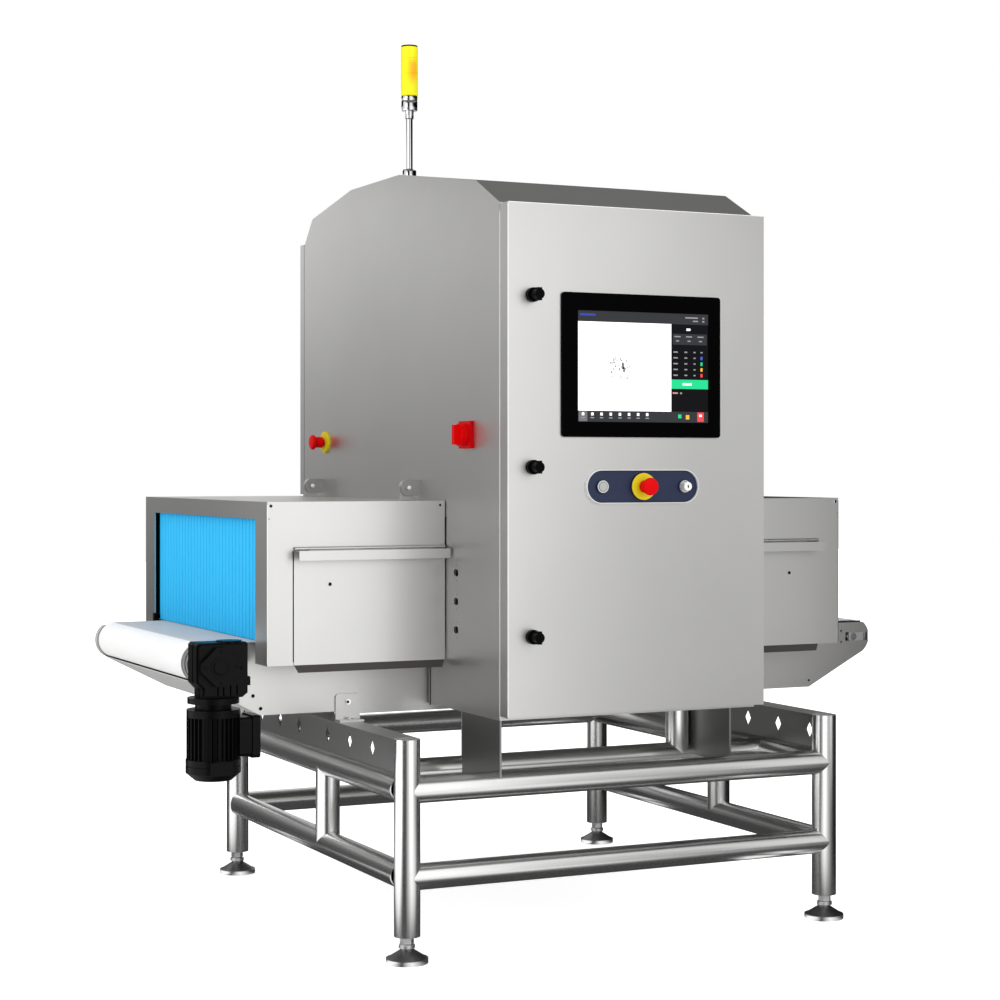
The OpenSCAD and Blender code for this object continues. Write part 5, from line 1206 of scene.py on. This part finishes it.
# %% [markdown]
# ## Flags that shape the steel
# Polished metal in an all-white room has no form, so a studio stands grey and black cards,
# called flags, round the object. They could be real cards, but those would also cast shadows
# and darken the plastics. These cards are seen by reflections alone. Each keeps a tone at every
# point in an attribute, because the sheets of this machine turn darker downwards and to the
# right, and one glowing material reads it.

# %% The flags' one material
flag_card = bpy.data.materials.new("flag_card")
flag_card.use_nodes = True
flag_tree = flag_card.node_tree
flag_tree.nodes.clear()
flag_output = flag_tree.nodes.new("ShaderNodeOutputMaterial")
flag_glow = flag_tree.nodes.new("ShaderNodeEmission")
flag_tone = add_node(flag_tree, "ShaderNodeAttribute", attribute_name="tone")
flag_tree.links.new(flag_tone.outputs["Fac"], flag_glow.inputs["Strength"])
flag_tree.links.new(flag_glow.outputs[0], flag_output.inputs["Surface"])
flag_card.cycles.emission_sampling = "NONE"


def only_reflections_see(card):
    card.data.materials.append(flag_card)
    card.visible_camera = False
    card.visible_diffuse = False
    card.visible_transmission = False
    card.visible_shadow = False
    card.visible_volume_scatter = False


# %% [markdown]
# ## Standing flags
# An upright face of the machine mirrors what stands opposite it, so cards bent round the
# machine decide how light each side and each band of a tube looks. Flat cards would leave gaps
# at their corners, so each is an arc between two angles. A table gives its tones from the
# ground up, at its first and last edge, and a grid fine enough to carry them fills the card.

# %% An arc with its tones
FLAG_RADIUS, FLAG_TOP, FLAG_FOOT = 2.25, 3.2, 0.003
DEGREES_A_STEP, STEPS_UP = 4, 24


def along(table, place):
    """The value at a place in a table of (place, value), with straight lines between."""
    for (a, low), (b, high) in zip(table, table[1:]):
        if a <= place <= b:
            return low + (high - low) * (place - a) / (b - a)
    return table[-1][1]


def standing_flag(name, first, last, heights):
    """A curved card between two angles, in degrees from straight ahead towards the right."""
    steps = max(2, round((last - first) / DEGREES_A_STEP))
    card = start(bpy.ops.mesh.primitive_grid_add, x_subdivisions=steps, y_subdivisions=STEPS_UP,
                 size=1)
    card.name = name
    tone = card.data.attributes.new("tone", "FLOAT", "POINT")
    for vertex in card.data.vertices:
        across, up = vertex.co.x + 0.5, (vertex.co.y + 0.5) * FLAG_TOP
        start_tone = along([(z, a) for z, a, b in heights], up)
        end_tone = along([(z, b) for z, a, b in heights], up)
        tone.data[vertex.index].value = start_tone + (end_tone - start_tone) * across
        angle = math.radians(first + (last - first) * across)
        vertex.co = (FLAG_RADIUS * math.sin(angle), -FLAG_RADIUS * math.cos(angle),
                     FLAG_FOOT + up)
    only_reflections_see(card)


# %% The eight standing flags
# Each card's two angles, and its heights in metres with the tones at its first and last edge
STANDING_FLAGS = [
    ("flag_rear_left", -180, -118, [
        (0, 0.13, 0.01), (0.45, 0.22, 0.01), (1.3, 0.67, 0.05), (1.9, 1.18, 0.22),
        (2.25, 1.45, 0.36), (2.35, 0.02, 0.02), (FLAG_TOP, 0.02, 0.02)]),
    ("flag_camera", -57, -33, [
        (0, 0.04, 0.04), (2.15, 0.10, 0.10), (2.3, 0.02, 0.02), (FLAG_TOP, 0.02, 0.02)]),
    ("flag_beside_camera", -33, -16, [
        (0, 0.35, 0.82), (1.9, 0.50, 1.02), (FLAG_TOP, 0.40, 0.60)]),
    ("flag_front", -16, 10, [
        (0, 1.36, 1.06), (0.3, 1.52, 1.22), (1.9, 1.45, 1.20), (FLAG_TOP, 1.20, 0.80)]),
    ("flag_front_right", 10, 30, [
        (0, 0.66, 0.27), (1.0, 0.77, 0.37), (1.9, 1.16, 0.70), (2.25, 1.16, 0.70),
        (2.35, 0.50, 0.06), (FLAG_TOP, 0.50, 0.06)]),
    ("flag_right_hood", 30, 48, [
        (0, 0.10, 0.04), (0.15, 0.20, 0.12), (0.32, 0.92, 0.84), (0.6, 0.80, 0.72),
        (1.9, 0.64, 0.58), (2.3, 0.02, 0.02), (FLAG_TOP, 0.02, 0.02)]),
    ("flag_right", 48, 158, [
        (0, 0.01, 0.01), (2.15, 0.06, 0.06), (2.3, 0.0, 0.0), (FLAG_TOP, 0.0, 0.0)]),
    ("flag_rear", 158, 180, [
        (0, 0.30, 0.90), (FLAG_TOP, 0.60, 0.90)]),
]
for values in STANDING_FLAGS:
    standing_flag(*values)
print("standing flags:", len(STANDING_FLAGS))

# %% [markdown]
# ## Lying flags
# The undersides of the tubes mirror the ground, and the tops mirror what hangs above. One card
# lies on the ground and one hangs over the machine. The ground card is dark below the machine
# and takes a tone by its direction farther out, so that each leg's foot mirrors the same light
# as the leg above it.

# %% A card whose tone changes with the direction
UNDER_X, UNDER_Y, FADE_FROM, FADE_OVER = 0.60, 0.65, 0.28, 0.35
LYING_STEPS, FOOT_REACH = 150, 0.16


def lying_flag(name, height, near, table, foot_places=()):
    """A level card with one tone under the machine and a table of tones by angle farther out."""
    card = start(bpy.ops.mesh.primitive_grid_add, x_subdivisions=LYING_STEPS,
                 y_subdivisions=LYING_STEPS, size=2 * FLAG_RADIUS, location=(0, 0, height))
    card.name = name
    tone = card.data.attributes.new("tone", "FLOAT", "POINT")
    for vertex in card.data.vertices:
        beyond = [max(0.0, abs(v) - half) for v, half in zip(vertex.co, (UNDER_X, UNDER_Y))]
        out = min(1.0, max(0.0, (math.hypot(*beyond) - FADE_FROM) / FADE_OVER))
        far = along(table, math.degrees(math.atan2(vertex.co.x, -vertex.co.y)))
        value = near + (far - near) * out
        for x, y in foot_places:
            step = vertex.co.xy - Vector((x, y))
            if step.length < FOOT_REACH:
                value = max(value, along(table, math.degrees(math.atan2(step.x, -step.y))))
        tone.data[vertex.index].value = value
    only_reflections_see(card)


# %% Ceiling and ground
CEILING_TONE, GROUND_NEAR, GROUND_Z = 0.19, 0.06, 0.002
# Tones of the ground by its direction, in degrees from straight ahead towards the right
GROUND_TONES = [(-180, 0.10), (-130, 0.06), (-122, 1.15), (-64, 1.15), (-55, 0.05), (-38, 0.05),
                (-30, 0.40), (-14, 1.10), (8, 1.00), (28, 0.38), (44, 0.06), (64, 0.01),
                (180, 0.01)]
FOOT_PLACES = [(-0.567, -0.621), (0.579, -0.621), (-0.567, 0.599), (0.579, 0.599)]

lying_flag("flag_ceiling", FLAG_TOP, CEILING_TONE, [(-180, CEILING_TONE), (180, CEILING_TONE)])
lying_flag("flag_ground", GROUND_Z, GROUND_NEAR, GROUND_TONES, FOOT_PLACES)
print("flags:", len(STANDING_FLAGS) + 2)
